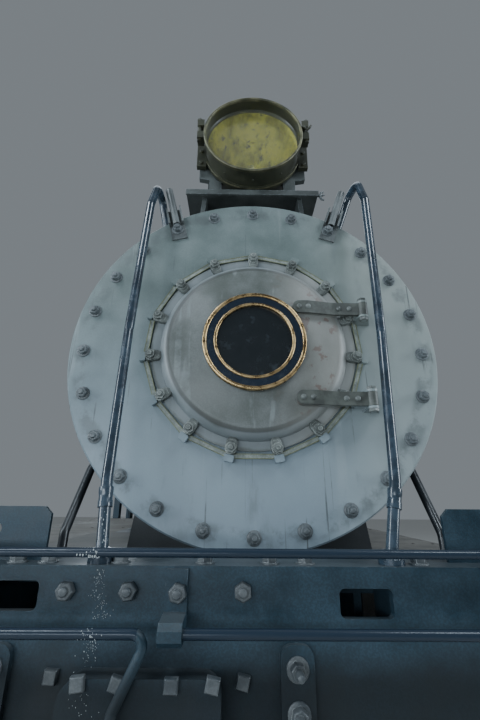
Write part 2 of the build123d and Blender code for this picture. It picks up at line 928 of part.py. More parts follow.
with BuildPart() as front_plate:
    turned(
        lengthwise(boiler_x, smokebox_front, boiler_z),
        [
            (0, 0),
            (front_plate_radius - 6, 0),
            (front_plate_radius, 6),
            (front_plate_radius, front_plate_thickness),
            (0, front_plate_thickness),
        ],
    )
    bar(
        (boiler_x, smokebox_front - 5, door_z),
        (boiler_x, plate_back + 5, door_z),
        door_opening_radius,
        mode=Mode.SUBTRACT,
    )
    for step in range(clamp_count):
        with BuildSketch(door_plane(step, 0)) as heel_outline:
            with Locations((0, (clamp_outer + 1 + heel_outer) / 2)):
                RectangleRounded(heel_width, heel_outer - clamp_outer - 1, 5)
        extrude(heel_outline.sketch, amount=door_flange + 14)
    with BuildSketch(door_plane(0, 0)) as ring_outline:
        RegularPolygon(ring_bar_inner + ring_bar_width, clamp_count, major_radius=False, rotation=90)
        RegularPolygon(ring_bar_inner, clamp_count, major_radius=False, rotation=90, mode=Mode.SUBTRACT)
    extrude(ring_outline.sketch, amount=ring_bar_thickness)
    for strap_z, boss_height in hinge_table:
        for up in (-1, 1):
            lug = sorted((strap_z + up * boss_height / 2, strap_z + up * (boss_height / 2 + lug_height)))
            lug_block = [
                (hinge_pin_x - 15, smokebox_front),
                (hinge_pin_x - hinge_barrel_radius, hinge_pin_y),
                (hinge_pin_x + hinge_barrel_radius, hinge_pin_y),
                (hinge_pin_x + 44, smokebox_front),
            ]
            plate(Plane.XY.offset(lug[0]), lug_block, lug_height)
            bar((hinge_pin_x, hinge_pin_y, lug[0]), (hinge_pin_x, hinge_pin_y, lug[1]), hinge_barrel_radius)
        bar(
            (hinge_pin_x, hinge_pin_y, strap_z - boss_height / 2 - lug_height - pin_end),
            (hinge_pin_x, hinge_pin_y, strap_z + boss_height / 2 + lug_height + pin_end),
            hinge_pin_radius,
        )
front_plate.part.label = "smokebox_front"
export_step(front_plate.part, "parts/smokebox_front.step")

# Smokebox door: dished plate on a flat flange, with two hinge straps
strap_inner = boiler_x + 146
strap_face = smokebox_front - door_dish - 4
strap_bend = boiler_x + 205
strap_knee = boiler_x + 300
with BuildPart() as door:
    with BuildSketch(lengthwise(boiler_x, smokebox_front, door_z)) as door_section:
        with BuildLine() as door_line:
            crown = (0, -door_dish)
            spring_point = (door_shoulder_radius - 50, -door_dish + 34)
            shoulder = (door_shoulder_radius, -door_flange)
            ThreePointArc(crown, (spring_point[0] * 0.55, -door_dish + 9), spring_point)
            ThreePointArc(spring_point, (door_shoulder_radius - 14, -door_dish + 52), shoulder)
            Polyline(
                shoulder,
                (door_radius, -door_flange),
                (door_radius, -seat_gap),
                (door_shoulder_radius - door_wall, -seat_gap),
                (door_shoulder_radius - door_wall, -door_flange),
                (spring_point[0] - 6, spring_point[1] + door_wall),
                (spring_point[0] * 0.55, -door_dish + 9 + door_wall),
                (0, -door_dish + door_wall),
                crown,
            )
        make_face(door_line.line)
    revolve(door_section.sketch, axis=Axis((boiler_x, smokebox_front, door_z), (0, 1, 0)))
    for strap_z, boss_height in hinge_table:
        strap_y = (hinge_pin_y - 8, hinge_pin_y + 8)
        strap_z_range = (strap_z - strap_half_height, strap_z + strap_half_height)
        slab((strap_knee, hinge_pin_x), strap_y, strap_z_range)
        plate(
            Plane.XY.offset(strap_z - strap_half_height),
            [
                (strap_inner + strap_half_height, strap_face),
                (strap_bend, strap_face),
                (strap_knee, strap_y[0]),
                (strap_knee + 10, strap_y[1]),
                (strap_knee - 10, strap_y[1] + 14),
                (strap_bend, strap_face + 40),
                (strap_inner + strap_half_height, strap_face + 32),
            ],
            2 * strap_half_height,
        )
        bar(
            (strap_inner + strap_half_height, strap_face, strap_z),
            (strap_inner + strap_half_height, strap_face + 32, strap_z),
            strap_half_height,
        )
        bar(
            (hinge_pin_x, hinge_pin_y, strap_z - boss_height / 2 + 1),
            (hinge_pin_x, hinge_pin_y, strap_z + boss_height / 2 - 1),
            hinge_barrel_radius,
        )
        bar(
            (hinge_pin_x, hinge_pin_y, strap_z - boss_height),
            (hinge_pin_x, hinge_pin_y, strap_z + boss_height),
            hinge_pin_radius + running_gap,
            mode=Mode.SUBTRACT,
        )
door.part.label = "smokebox_door"
export_step(door.part, "parts/smokebox_door.step")

# Door clamps: pointed toe on the door flange, stud and hexagon nut
nut_flats = 32
nut_height = 18
clamp_toe = clamp_inner + 9
toe_half_width = 8
with BuildPart() as clamps:
    for step in range(clamp_count):
        half = clamp_width / 2
        plate(
            door_plane(step, door_flange),
            [
                (-toe_half_width, clamp_outer),
                (toe_half_width, clamp_outer),
                (half - 4, clamp_outer - 4),
                (half, clamp_outer - 13),
                (half, clamp_toe + 18),
                (half - 5, clamp_toe + 7),
                (toe_half_width, clamp_toe),
                (-toe_half_width, clamp_toe),
                (-half + 5, clamp_toe + 7),
                (-half, clamp_toe + 18),
                (-half, clamp_outer - 13),
                (-half + 4, clamp_outer - 4),
            ],
            clamp_thickness,
        )
        with BuildSketch(door_plane(step, door_flange + clamp_thickness)) as nut:
            with Locations((0, clamp_bolt_radius - 13)):
                RegularPolygon(nut_flats / 2, 6, major_radius=False)
        extrude(nut.sketch, amount=nut_height)
clamps.part.label = "door_clamps"
export_step(clamps.part, "parts/door_clamps.step")

# Round number plate, blank, on a boss in front of the door
number_plate_z = boiler_z + 8
number_plate_radius = 186
with BuildPart() as number_plate:
    turned(
        lengthwise(boiler_x, smokebox_front - door_dish - 1, number_plate_z),
        [
            (0, -10),
            (138, -10),
            (146, -18),
            (178, -18),
            (number_plate_radius, -14),
            (number_plate_radius, -8),
            (60, -4),
            (60, -0.3),
            (0, -0.3),
        ],
    )
number_plate.part.label = "number_plate"
export_step(number_plate.part, "parts/number_plate.step")

# Headlight on a shelf above the smokebox
with BuildPart() as headlight:
    turned(
        lengthwise(boiler_x, lamp_front, lamp_z),
        [
            (lamp_radius - lamp_wall, 0),
            (lamp_radius, 0),
            (lamp_radius, 14),
            (lamp_radius - 6, 18),
            (lamp_radius - 6, lamp_hood),
            (lamp_radius + 2, lamp_hood),
            (lamp_radius + 2, lamp_hood + 24),
            (lamp_drum_radius, lamp_hood + 28),
            (lamp_drum_radius, lamp_length - 60),
            (lamp_radius - 60, lamp_length),
            (0, lamp_length),
            (0, lamp_length - 12),
            (60, lamp_length - 20),
            (125, lamp_glass_depth + 165),
            (lamp_radius - 45, lamp_glass_depth + 90),
            (lamp_radius - 22, lamp_glass_depth + 28),
            (lamp_radius - lamp_wall - 6, lamp_glass_depth + 2),
            (lamp_radius - lamp_wall, lamp_glass_depth - 8),
        ],
    )
headlight.part.label = "headlight"
export_step(headlight.part, "parts/headlight.step")

glass_radius = lamp_radius - lamp_wall - 6 - seat_gap
with BuildPart() as lamp_glass:
    turned(
        lengthwise(boiler_x, lamp_front, lamp_z),
        [
            (0, lamp_glass_depth - 10),
            (110, lamp_glass_depth - 7),
            (glass_radius, lamp_glass_depth - 2),
            (glass_radius, lamp_glass_depth + 1),
            (0, lamp_glass_depth - 5),
        ],
    )
lamp_glass.part.label = "headlight_glass"
export_step(lamp_glass.part, "parts/headlight_glass.step")

shelf_thickness = 12
shelf_front = -4985
shelf_back = -4740
shelf_lip = 27
with BuildPart() as lamp_bracket:
    half = lamp_shelf_width / 2
    shelf_x = (boiler_x - half, boiler_x + half)
    slab(shelf_x, (shelf_front, shelf_back), (lamp_shelf_z - shelf_thickness, lamp_shelf_z))
    slab(shelf_x, (shelf_front, shelf_front + 10), (lamp_shelf_z - shelf_lip, lamp_shelf_z))
    for side in (-1, 1):
        leg = [(248, 590), (228, 590), (212, lamp_shelf_z - boiler_z - 5), (232, lamp_shelf_z - boiler_z - 5)]
        plate(
            end_plane(shelf_front + 40),
            [(-(boiler_x + side * x), boiler_z + z) for x, z in leg],
            150,
        )
        cheek = [
            (250, 20),
            (250, -143),
            (202, -152),
            (202, lamp_shelf_z - lamp_z - 5),
            (146, lamp_shelf_z - lamp_z - 5),
            (146, -150),
            (188, -70),
            (203, 20),
        ]
        plate(
            end_plane(lamp_front + lamp_hood + 32),
            [(-(boiler_x + side * x), lamp_z + z) for x, z in cheek],
            26,
        )
    bar(
        (boiler_x, shelf_front, boiler_z),
        (boiler_x, shelf_back, boiler_z),
        smokebox_radius + seat_gap,
        mode=Mode.SUBTRACT,
    )
    bar(
        (boiler_x, lamp_front, lamp_z),
        (boiler_x, lamp_front + lamp_length, lamp_z),
        lamp_drum_radius + seat_gap,
        mode=Mode.SUBTRACT,
    )
lamp_bracket.part.label = "headlight_bracket"
export_step(lamp_bracket.part, "parts/headlight_bracket.step")

# Front handrail posts: up from the beam, over at the top and back to the rim of the smokebox
post_radius = 16.5
foot_radius = 34
post_table = (
    # side; x from the boiler's centre at the foot, knee, below the loop, loop and elbow; loop height
    (-1, -420, -441, -430, -418, -408, 752),
    (1, 358, 409, 472, 462, 440, 790),
)
with BuildPart() as handrails:
    for side, foot_x, knee_x, upper_x, loop_x, elbow_x, loop_z in post_table:
        pipe(
            [
                (boiler_x + side * 388, smokebox_front + 60, boiler_z + 618),
                (boiler_x + elbow_x, smokebox_front + 12, boiler_z + loop_z - 20),
                (boiler_x + loop_x, smokebox_front - 60, boiler_z + loop_z),
                (boiler_x + upper_x, smokebox_front - 96, boiler_z + loop_z - 130),
                (boiler_x + (upper_x + knee_x) / 2 + side * 18, smokebox_front - 120, boiler_z + 35),
                (boiler_x + knee_x, smokebox_front - 200, boiler_z - 480),
                (boiler_x + foot_x, -beam_face + 45, beam_top + 6),
            ],
            34,
            post_radius,
        )
        foot = (boiler_x + foot_x, -beam_face + 45)
        bar((*foot, beam_top + seat_gap), (*foot, beam_top + 14), foot_radius)
    bar(
        (boiler_x, smokebox_front, boiler_z),
        (boiler_x, smokebox_front + 200, boiler_z),
        front_plate_radius + seat_gap,
        mode=Mode.SUBTRACT,
    )
handrails.part.label = "front_handrails"
export_step(handrails.part, "parts/front_handrails.step")

# Flag sockets: a short tube in a channel bracket, bolted to each side of the front plate
socket_radius = 16
socket_bore = 12.5
socket_width = 66
socket_wall = 8
socket_depth = 34
socket_length = 152
socket_table = (
    # x and z of the bracket's lower end from the boiler's centre, and its lean outwards in degrees
    (-314, 520, -14),
    (319, 523, 18),
)
with BuildPart() as sockets:
    for socket_x, socket_z, lean in socket_table:
        tilt = math.radians(lean)
        along = Vector(math.sin(tilt), 0, math.cos(tilt))
        base = Plane(
            origin=(boiler_x + socket_x, smokebox_front, boiler_z + socket_z),
            x_dir=(along.Z, 0, -along.X),
            z_dir=(0, -1, 0),
        )
        with BuildSketch(base) as back_outline:
            with Locations((0, socket_length / 2)):
                Rectangle(socket_width, socket_length)
        extrude(back_outline.sketch, amount=socket_wall)
        with BuildSketch(base) as cheek_outline:
            for hand in (-1, 1):
                with Locations((hand * (socket_width - socket_wall) / 2, socket_length - 42)):
                    Rectangle(socket_wall, 84)
        extrude(cheek_outline.sketch, amount=socket_depth)
        low = base.origin + along * 64 - Vector(0, socket_wall + socket_radius - 2, 0)
        high = low + along * 190
        bar(tuple(low), tuple(high), socket_radius)
        bar(tuple(low - along), tuple(high + along), socket_bore, mode=Mode.SUBTRACT)
sockets.part.label = "flag_sockets"
export_step(sockets.part, "parts/flag_sockets.step")

# Braces: bent bars from the smokebox down to the deck
brace_radius = 15
brace_foot_y = -5000
brace_table = (
    # side, height of the deck or board below
    (-1, deck_top),
    (1, sill_top - 2),
)
with BuildPart() as braces:
    for side, foot_z in brace_table:
        pipe(
            [
                (boiler_x + side * 560, -4790, boiler_z - 330),
                (boiler_x + side * 618, -4840, boiler_z - 425),
                (boiler_x + side * 626, -4985, boiler_z - 640),
                (boiler_x + side * 622, brace_foot_y, foot_z + 6),
            ],
            40,
            brace_radius,
        )
        foot = (boiler_x + side * 622, brace_foot_y)
        bar((*foot, foot_z), (*foot, foot_z + 12), 38)
    bar(
        (boiler_x, -4900, boiler_z),
        (boiler_x, -4600, boiler_z),
        smokebox_radius + seat_gap,
        mode=Mode.SUBTRACT,
    )
braces.part.label = "smokebox_braces"
export_step(braces.part, "parts/smokebox_braces.step")

# Boiler: barrel, sloping course and round-topped firebox, solid
steam_dome_y = -1650
steam_dome_radius = 300
with BuildPart() as boiler:
    turned(
        lengthwise(boiler_x, 0, boiler_z),
        [
            (0, smokebox_back),
            (barrel_radius, smokebox_back),
            (barrel_radius, barrel_back - 500),
            (firebox_radius, barrel_back),
            (firebox_radius, firebox_back),
            (0, firebox_back),
        ],
    )
    slab(
        (boiler_x - firebox_radius + 90, boiler_x + firebox_radius - 90),
        (barrel_back, firebox_back),
        (firebox_bottom, boiler_z),
    )
    for band_y in (-3500, -2450, -2100, -500, 420):
        band = firebox_radius if band_y > barrel_back else barrel_radius
        bar((boiler_x, band_y - 25, boiler_z), (boiler_x, band_y + 25, boiler_z), band + lagging_band)
boiler.part.label = "boiler"
export_step(boiler.part, "parts/boiler.step")


def dome(name, dome_y, radius, top, seat_radius):
    # A turned dome seated on the boiler barrel
    base = boiler_z + seat_radius - 120
    cap_height = 0.45 * radius
    cap_radius = (radius**2 + cap_height**2) / (2 * cap_height)
    with BuildPart() as body:
        with BuildSketch(upright(boiler_x, dome_y, 0)) as section:
            with BuildLine() as line:
                Polyline(
                    (0, top),
                    (0, base),
                    (radius + 70, base),
                    (radius + 70, base + 130),
                    (radius + 24, base + 165),
                    (radius, base + 225),
                    (radius, top - cap_height),
                )
                ThreePointArc(
                    (radius, top - cap_height),
                    (radius / 2, top - cap_radius + math.sqrt(cap_radius**2 - radius**2 / 4)),
                    (0, top),
                )
            make_face(line.line)
        revolve(section.sketch, axis=Axis((boiler_x, dome_y, 0), (0, 0, 1)))
        bar(
            (boiler_x, dome_y - 2 * radius, boiler_z),
            (boiler_x, dome_y + 2 * radius, boiler_z),
            seat_radius + seat_gap,
            mode=Mode.SUBTRACT,
        )
    body.part.label = name
    export_step(body.part, f"parts/{name}.step")


dome("steam_dome", steam_dome_y, steam_dome_radius, 3330, barrel_radius)
dome("sand_dome", -2950, 290, 3260, barrel_radius)

# Stack: a cast base on a curved saddle, and the flared chimney that stands on it, open inside
stack_seam = boiler_z + smokebox_radius + 60
with BuildPart() as stack_base:
    turned(
        upright(boiler_x, stack_y, 0),
        [
            (stack_bore, boiler_z + smokebox_radius - 90),
            (stack_radius + 110, boiler_z + smokebox_radius - 90),
            (stack_radius + 110, boiler_z + smokebox_radius + 18),
            (stack_radius + 30, stack_seam),
            (stack_bore, stack_seam),
        ],
    )
    bar(
        (boiler_x, stack_y - 400, boiler_z),
        (boiler_x, stack_y + 400, boiler_z),
        smokebox_radius + seat_gap,
        mode=Mode.SUBTRACT,
    )
stack_base.part.label = "stack_base"
export_step(stack_base.part, "parts/stack_base.step")

with BuildPart() as stack:
    turned(
        upright(boiler_x, stack_y, 0),
        [
            (stack_bore, stack_seam),
            (stack_radius + 30, stack_seam),
            (stack_radius, stack_seam + 70),
            (stack_radius + 30, stack_top - 110),
            (stack_radius + 62, stack_top - 70),
            (stack_radius + 62, stack_top),
            (stack_radius + 20, stack_top),
            (stack_bore, stack_top - 60),
        ],
    )
stack.part.label = "stack"
export_step(stack.part, "parts/stack.step")

# Bell in its stand
bell_y = -2270
bell_pivot_z = 3150
bell_mouth_radius = 165
bell_trunnion = 16
with BuildPart() as bell_stand:
    slab((boiler_x - 240, boiler_x + 240), (bell_y - 60, bell_y + 60), (boiler_z + 560, boiler_z + 665))
    for side in (-1, 1):
        plate(
            side_plane(boiler_x + side * 225 - 14),
            [
                (bell_y - 60, boiler_z + 600),
                (bell_y + 60, boiler_z + 600),
                (bell_y + 32, bell_pivot_z + 36),
                (bell_y - 32, bell_pivot_z + 36),
            ],
            28,
        )
        bar(
            (boiler_x + side * 260, bell_y, bell_pivot_z),
            (boiler_x + side * 190, bell_y, bell_pivot_z),
            bell_trunnion + running_gap,
            mode=Mode.SUBTRACT,
        )
    bar(
        (boiler_x, bell_y - 200, boiler_z),
        (boiler_x, bell_y + 200, boiler_z),
        barrel_radius + seat_gap,
        mode=Mode.SUBTRACT,
    )
bell_stand.part.label = "bell_stand"
export_step(bell_stand.part, "parts/bell_stand.step")

with BuildPart() as bell:
    bell_base = bell_pivot_z - 235
    turned(
        upright(boiler_x, bell_y, 0),
        [
            (bell_mouth_radius - 14, bell_base),
            (bell_mouth_radius, bell_base),
            (bell_mouth_radius - 30, bell_base + 60),
            (bell_mouth_radius - 62, bell_base + 150),
            (bell_mouth_radius - 84, bell_base + 200),
            (40, bell_base + 222),
            (0, bell_base + 222),
            (0, bell_base + 206),
            (40, bell_base + 204),
            (bell_mouth_radius - 98, bell_base + 186),
            (bell_mouth_radius - 76, bell_base + 146),
            (bell_mouth_radius - 46, bell_base + 60),
        ],
    )
    bar((boiler_x, bell_y, bell_base + 215), (boiler_x, bell_y, bell_pivot_z), 30)
    slab((boiler_x - 190, boiler_x + 190), (bell_y - 22, bell_y + 22), (bell_pivot_z - 20, bell_pivot_z + 24))
    bar((boiler_x - 236, bell_y, bell_pivot_z), (boiler_x + 236, bell_y, bell_pivot_z), bell_trunnion)
bell.part.label = "bell"
export_step(bell.part, "parts/bell.step")

# Safety valves and whistle on the firebox, dynamo beside the steam dome
fitting_seat = boiler_z + firebox_radius
with BuildPart() as fittings:
    turned(
        upright(boiler_x, 100, 0),
        [
            (0, fitting_seat - 60),
            (150, fitting_seat - 60),
            (150, fitting_seat + 60),
            (120, fitting_seat + 90),
            (0, fitting_seat + 90),
        ],
    )
    for valve_x in (-60, 60):
        turned(
            upright(boiler_x + valve_x, 100, fitting_seat),
            [(0, 80), (30, 80), (42, 120), (42, 210), (24, 240), (24, 270), (0, 270)],
        )
    turned(
        upright(boiler_x, 170, fitting_seat),
        [(0, 80), (16, 80), (16, 150), (34, 160), (34, 190), (30, 300), (0, 330)],
    )
    bar(
        (boiler_x, -200, boiler_z),
        (boiler_x, 400, boiler_z),
        firebox_radius + seat_gap,
        mode=Mode.SUBTRACT,
    )
fittings.part.label = "boiler_fittings"
export_step(fittings.part, "parts/boiler_fittings.step")

# Ash pan: two hoppers between the sills, under the firebox
hopper_half_width = 485
hopper_floor = 840
hopper_places = ((-500, 150), (250, 900))
with BuildPart() as ash_pan:
    for front, back in hopper_places:
        with BuildSketch(Plane.XY.offset(sill_top)) as rim:
            with Locations((0, (front + back) / 2)):
                Rectangle(2 * hopper_half_width, back - front)
        extrude(rim.sketch, amount=-sill_flange)
        with BuildSketch(Plane.XY.offset(sill_top - sill_flange)) as upper:
            with Locations((0, (front + back) / 2)):
                Rectangle(2 * hopper_half_width - 30, back - front)
        with BuildSketch(Plane.XY.offset(hopper_floor)) as lower:
            with Locations((0, (front + back) / 2)):
                Rectangle(hopper_half_width, (back - front) / 2)
        loft([upper.sketch, lower.sketch], ruled=True)
ash_pan.part.label = "ash_pan"
export_step(ash_pan.part, "parts/ash_pan.step")

# Crankshaft: four main journals and three throws
bearing_places = [engine_y + cylinder_pitch * (place - 1.5) for place in range(4)]
throw_places = [engine_y + cylinder_pitch * (place - 1) for place in range(3)]
web_inner = 62
crank_web = 76
crank_head = 54
main_cheek = 115
pin_cheek = 105
with BuildPart() as crankshaft:
    spans = [bearing_places[0] - 90]
    for throw_y in throw_places:
        spans += [throw_y - web_inner - 10, throw_y + web_inner + 10]
    spans.append(bearing_places[-1] + 90)
    for first, last in zip(spans[0::2], spans[1::2]):
        bar((shaft_x, first, axle_z), (shaft_x, last, axle_z), journal_main_radius)
    for throw_y, angle in zip(throw_places, crank_angles):
        pin_x = shaft_x + crank_radius * math.cos(math.radians(angle))
        pin_z = axle_z + crank_radius * math.sin(math.radians(angle))
        bar(
            (pin_x, throw_y - web_inner - 10, pin_z),
            (pin_x, throw_y + web_inner + 10, pin_z),
            crankpin_radius,
        )
        for edge in (-1, 1):
            start = throw_y + (web_inner if edge > 0 else -web_inner - crank_web)
            with BuildSketch(Plane(origin=(0, start, 0), x_dir=(1, 0, 0), z_dir=(0, -1, 0))) as web:
                with Locations((shaft_x, axle_z)):
                    Circle(main_cheek)
                with Locations((pin_x, pin_z)):
                    Circle(pin_cheek)
                make_hull()
            extrude(web.sketch, amount=-crank_web)
    for joint_y, inner in ((front_crank_joint, bearing_places[0]), (rear_crank_joint, bearing_places[-1])):
        outward = -1 if joint_y < inner else 1
        bar((shaft_x, inner + outward * 80, axle_z), (shaft_x, joint_y + outward * 50, axle_z), crank_head)
        bar(
            (shaft_x, joint_y, axle_z - fork_reach - 12),
            (shaft_x, joint_y, axle_z + fork_reach + 12),
            fork_pin_radius,
        )
crankshaft.part.label = "crankshaft"
export_step(crankshaft.part, "parts/crankshaft.step")

# Engine frame: bearings, columns, guides and the bed under the cylinders
column_half = 52
column_inner = 168
column_outer = 236
bed_x = (-1330, -800)
bed_z = (cylinder_bottom - bed_thickness, cylinder_bottom)
bed_y = (bearing_places[0] - 70, bearing_places[-1] + 70)
guide_bottom = 1190
with BuildPart() as engine_frame:
    slab(bed_x, bed_y, bed_z)
    for bearing_y in bearing_places:
        width = (bearing_y - column_half, bearing_y + column_half)
        for side in (-1, 1):
            column = sorted((shaft_x + side * column_inner, shaft_x + side * column_outer))
            slab(column, width, (axle_z, bed_z[0] + 5))
        slab((shaft_x - column_outer, shaft_x + column_outer), width, (axle_z - 140, axle_z + 150))
        slab((shaft_x - column_outer, shaft_x + column_outer), width, (1180, 1270))
        slab((shaft_x + column_outer - 5, -sill_x - sill_web / 2), width, (sill_bottom + 70, sill_top - 40))
        bar(
            (shaft_x, bearing_y - column_half, axle_z),
            (shaft_x, bearing_y + column_half, axle_z),
            journal_main_radius + running_gap,
            mode=Mode.SUBTRACT,
        )
    for side in (-1, 1):
        rail = sorted((shaft_x + side * guide_offset, shaft_x + side * (guide_offset + guide_thickness)))
        slab(rail, (bearing_places[0], bearing_places[-1]), (guide_bottom, guide_bottom + 70))
        for throw_y in throw_places:
            slab(rail, (throw_y - 62, throw_y + 62), (guide_bottom, bed_z[0] + 5))
    for throw_y in throw_places:
        bar((shaft_x, throw_y, bed_z[0]), (shaft_x, throw_y, bed_z[1]), 60, mode=Mode.SUBTRACT)
engine_frame.part.label = "engine_frame"
export_step(engine_frame.part, "parts/engine_frame.step")

# Connecting rods, crossheads and piston rods
with BuildPart() as rods:
    for throw_y, angle in zip(throw_places, crank_angles):
        pin_x = shaft_x + crank_radius * math.cos(math.radians(angle))
        pin_z = axle_z + crank_radius * math.sin(math.radians(angle))
        rise = math.sqrt(rod_length**2 - (pin_x - shaft_x) ** 2)
        head_z = pin_z + rise
        big_end_half = web_inner - 6
        rod_run = Vector(shaft_x - pin_x, 0, rise).normalized()
        bar(
            (pin_x, throw_y - big_end_half, pin_z),
            (pin_x, throw_y + big_end_half, pin_z),
            crankpin_radius + 44,
        )
        start = Vector(pin_x, throw_y, pin_z) + rod_run * (crankpin_radius + 20)
        bar(tuple(start), (shaft_x, throw_y, head_z - 40), 34)
        slab(
            (shaft_x - guide_offset + seat_gap, shaft_x + guide_offset - seat_gap),
            (throw_y - 55, throw_y + 55),
            (head_z - 85, head_z + 95),
        )
        bar((shaft_x, throw_y, head_z), (shaft_x, throw_y, cylinder_bottom - seat_gap), 30)
        bar(
            (pin_x, throw_y - big_end_half, pin_z),
            (pin_x, throw_y + big_end_half, pin_z),
            crankpin_radius + running_gap,
            mode=Mode.SUBTRACT,
        )
rods.part.label = "running_rods"
export_step(rods.part, "parts/running_rods.step")

# Cylinders: three barrels with covers, and one long steam chest on the boiler side
chest_x = (-880, -700)
with BuildPart() as cylinders:
    for throw_y in throw_places:
        turned(
            upright(shaft_x, throw_y, cylinder_bottom),
            [
                (0, 0),
                (cylinder_radius + 30, 0),
                (cylinder_radius + 30, 40),
                (cylinder_radius, 44),
                (cylinder_radius, cylinder_length - 44),
                (cylinder_radius + 30, cylinder_length - 40),
                (cylinder_radius + 30, cylinder_length),
                (cylinder_radius + 10, cylinder_length + 22),
                (110, cylinder_length + 30),
                (110, cylinder_length + 70),
                (0, cylinder_length + 70),
            ],
        )
    slab(
        chest_x,
        (throw_places[0] - 230, throw_places[-1] + 230),
        (cylinder_bottom + 60, cylinder_bottom + cylinder_length - 60),
    )
cylinders.part.label = "cylinders"
export_step(cylinders.part, "parts/cylinders.step")

# Steam pipe from the dome to the chest, and exhaust pipe from the chest to the smokebox
steam_radius = 42
exhaust_radius = 56
pipe_flange = 26
flange_thickness = 24
chest_top = cylinder_bottom + cylinder_length - 60
chest_front = throw_places[0] - 230
inlet_x = chest_x[1] - 70
inlet_y = chest_front + 70
outlet_x = sum(chest_x) / 2
outlet_z = 2230
outlet_level = 3002
exhaust_run_x = boiler_x - 860
exhaust_entry_y = -4030
with BuildPart() as steam_pipes:
    pipe(
        [
            (boiler_x - steam_dome_radius + 40, steam_dome_y, outlet_level),
            (boiler_x - 480, steam_dome_y, outlet_level),
            (inlet_x, steam_dome_y + 170, 2760),
            (inlet_x, inlet_y, 2680),
            (inlet_x, inlet_y, chest_top),
        ],
        80,
        steam_radius,
    )
    bar(
        (inlet_x, inlet_y, chest_top),
        (inlet_x, inlet_y, chest_top + flange_thickness),
        steam_radius + pipe_flange,
    )
    bar(
        (boiler_x - steam_dome_radius + 50, steam_dome_y, outlet_level),
        (boiler_x - steam_dome_radius - flange_thickness, steam_dome_y, outlet_level),
        steam_radius + pipe_flange,
    )
    pipe(
        [
            (outlet_x, chest_front, outlet_z),
            (outlet_x, chest_front - 240, outlet_z),
            (exhaust_run_x, chest_front - 720, outlet_z),
            (exhaust_run_x, exhaust_entry_y + 280, outlet_z),
            (exhaust_run_x + 80, exhaust_entry_y, outlet_z),
            (boiler_x - smokebox_radius + 40, exhaust_entry_y, outlet_z),
        ],
        110,
        exhaust_radius,
    )
    bar(
        (outlet_x, chest_front, outlet_z),
        (outlet_x, chest_front - flange_thickness, outlet_z),
        exhaust_radius + pipe_flange,
    )
    bar(
        (boiler_x - smokebox_radius + 40, exhaust_entry_y, outlet_z),
        (boiler_x - smokebox_radius - flange_thickness, exhaust_entry_y, outlet_z),
        exhaust_radius + pipe_flange,
    )
    bar(
        (boiler_x, exhaust_entry_y - 200, boiler_z),
        (boiler_x, exhaust_entry_y + 200, boiler_z),
        smokebox_radius + seat_gap,
        mode=Mode.SUBTRACT,
    )
    bar(
        (boiler_x, steam_dome_y, outlet_level - 90),
        (boiler_x, steam_dome_y, outlet_level + 90),
        steam_dome_radius + seat_gap,
        mode=Mode.SUBTRACT,
    )
steam_pipes.part.label = "steam_pipes"
export_step(steam_pipes.part, "parts/steam_pipes.step")

# Cab: floor, walls with windows and doorways, glass, and a curved roof
door_way = 560
cab_inner = cab_half_width - cab_wall
step_front = cab_back - cab_wall - door_way + 10
step_back = step_front + door_way - 60
step_inner = 1190
step_plate = 14
step_tread = 22
step_bottom = 730
step_rise = 225
with BuildPart() as cab_floor:
    slab(
        (-cab_half_width, cab_half_width),
        (cab_front, cab_back),
        (sill_top, cab_floor_z),
    )
    slab(
        (boiler_x - firebox_radius + 85, boiler_x + firebox_radius - 85),
        (cab_front - 5, firebox_back + 5),
        (sill_top - 5, cab_floor_z + 5),
        mode=Mode.SUBTRACT,
    )
cab_floor.part.label = "cab_floor"
export_step(cab_floor.part, "parts/cab_floor.step")

# Cab steps: treads between two hangers under each doorway
with BuildPart() as cab_steps:
    for side in (-1, 1):
        for hanger_y in (step_front, step_back - step_plate):
            slab(
                (side * step_inner, side * (cab_half_width - 20)),
                (hanger_y, hanger_y + step_plate),
                (step_bottom, sill_top),
            )
        for tread in range(3):
            tread_z = step_bottom + tread * step_rise
            slab(
                (side * step_inner, side * cab_half_width),
                (step_front + 1, step_back - 1),
                (tread_z, tread_z + step_tread),
            )
cab_steps.part.label = "cab_steps"
export_step(cab_steps.part, "parts/cab_steps.step")

window_sill = 2150
window_top = 2820
side_window = (cab_front + 230, cab_front + 900)
front_lookout = (1080, 1340)
rear_lookout = (500, 1100)
front_lookout_sill = window_sill + 60
rear_lookout_sill = window_sill + 200
doorway_top = 2900
roof_arc_radius = (roof_half_width**2 + roof_rise**2) / (2 * roof_rise)


def roof_under(x):
    # Height of the roof's underside at a distance from the centre
    return cab_eaves - (roof_arc_radius - roof_rise) + math.sqrt(roof_arc_radius**2 - x**2)


def end_wall(y):
    # An end wall under the curved roof
    with BuildSketch(end_plane(y)) as outline:
        with BuildLine() as line:
            Polyline(
                (-cab_half_width, roof_under(cab_half_width) - seat_gap),
                (-cab_half_width, cab_floor_z),
                (cab_half_width, cab_floor_z),
                (cab_half_width, roof_under(cab_half_width) - seat_gap),
            )
            ThreePointArc(
                (cab_half_width, roof_under(cab_half_width) - seat_gap),
                (0, roof_under(0) - seat_gap),
                (-cab_half_width, roof_under(cab_half_width) - seat_gap),
            )
        make_face(line.line)
    extrude(outline.sketch, amount=cab_wall)


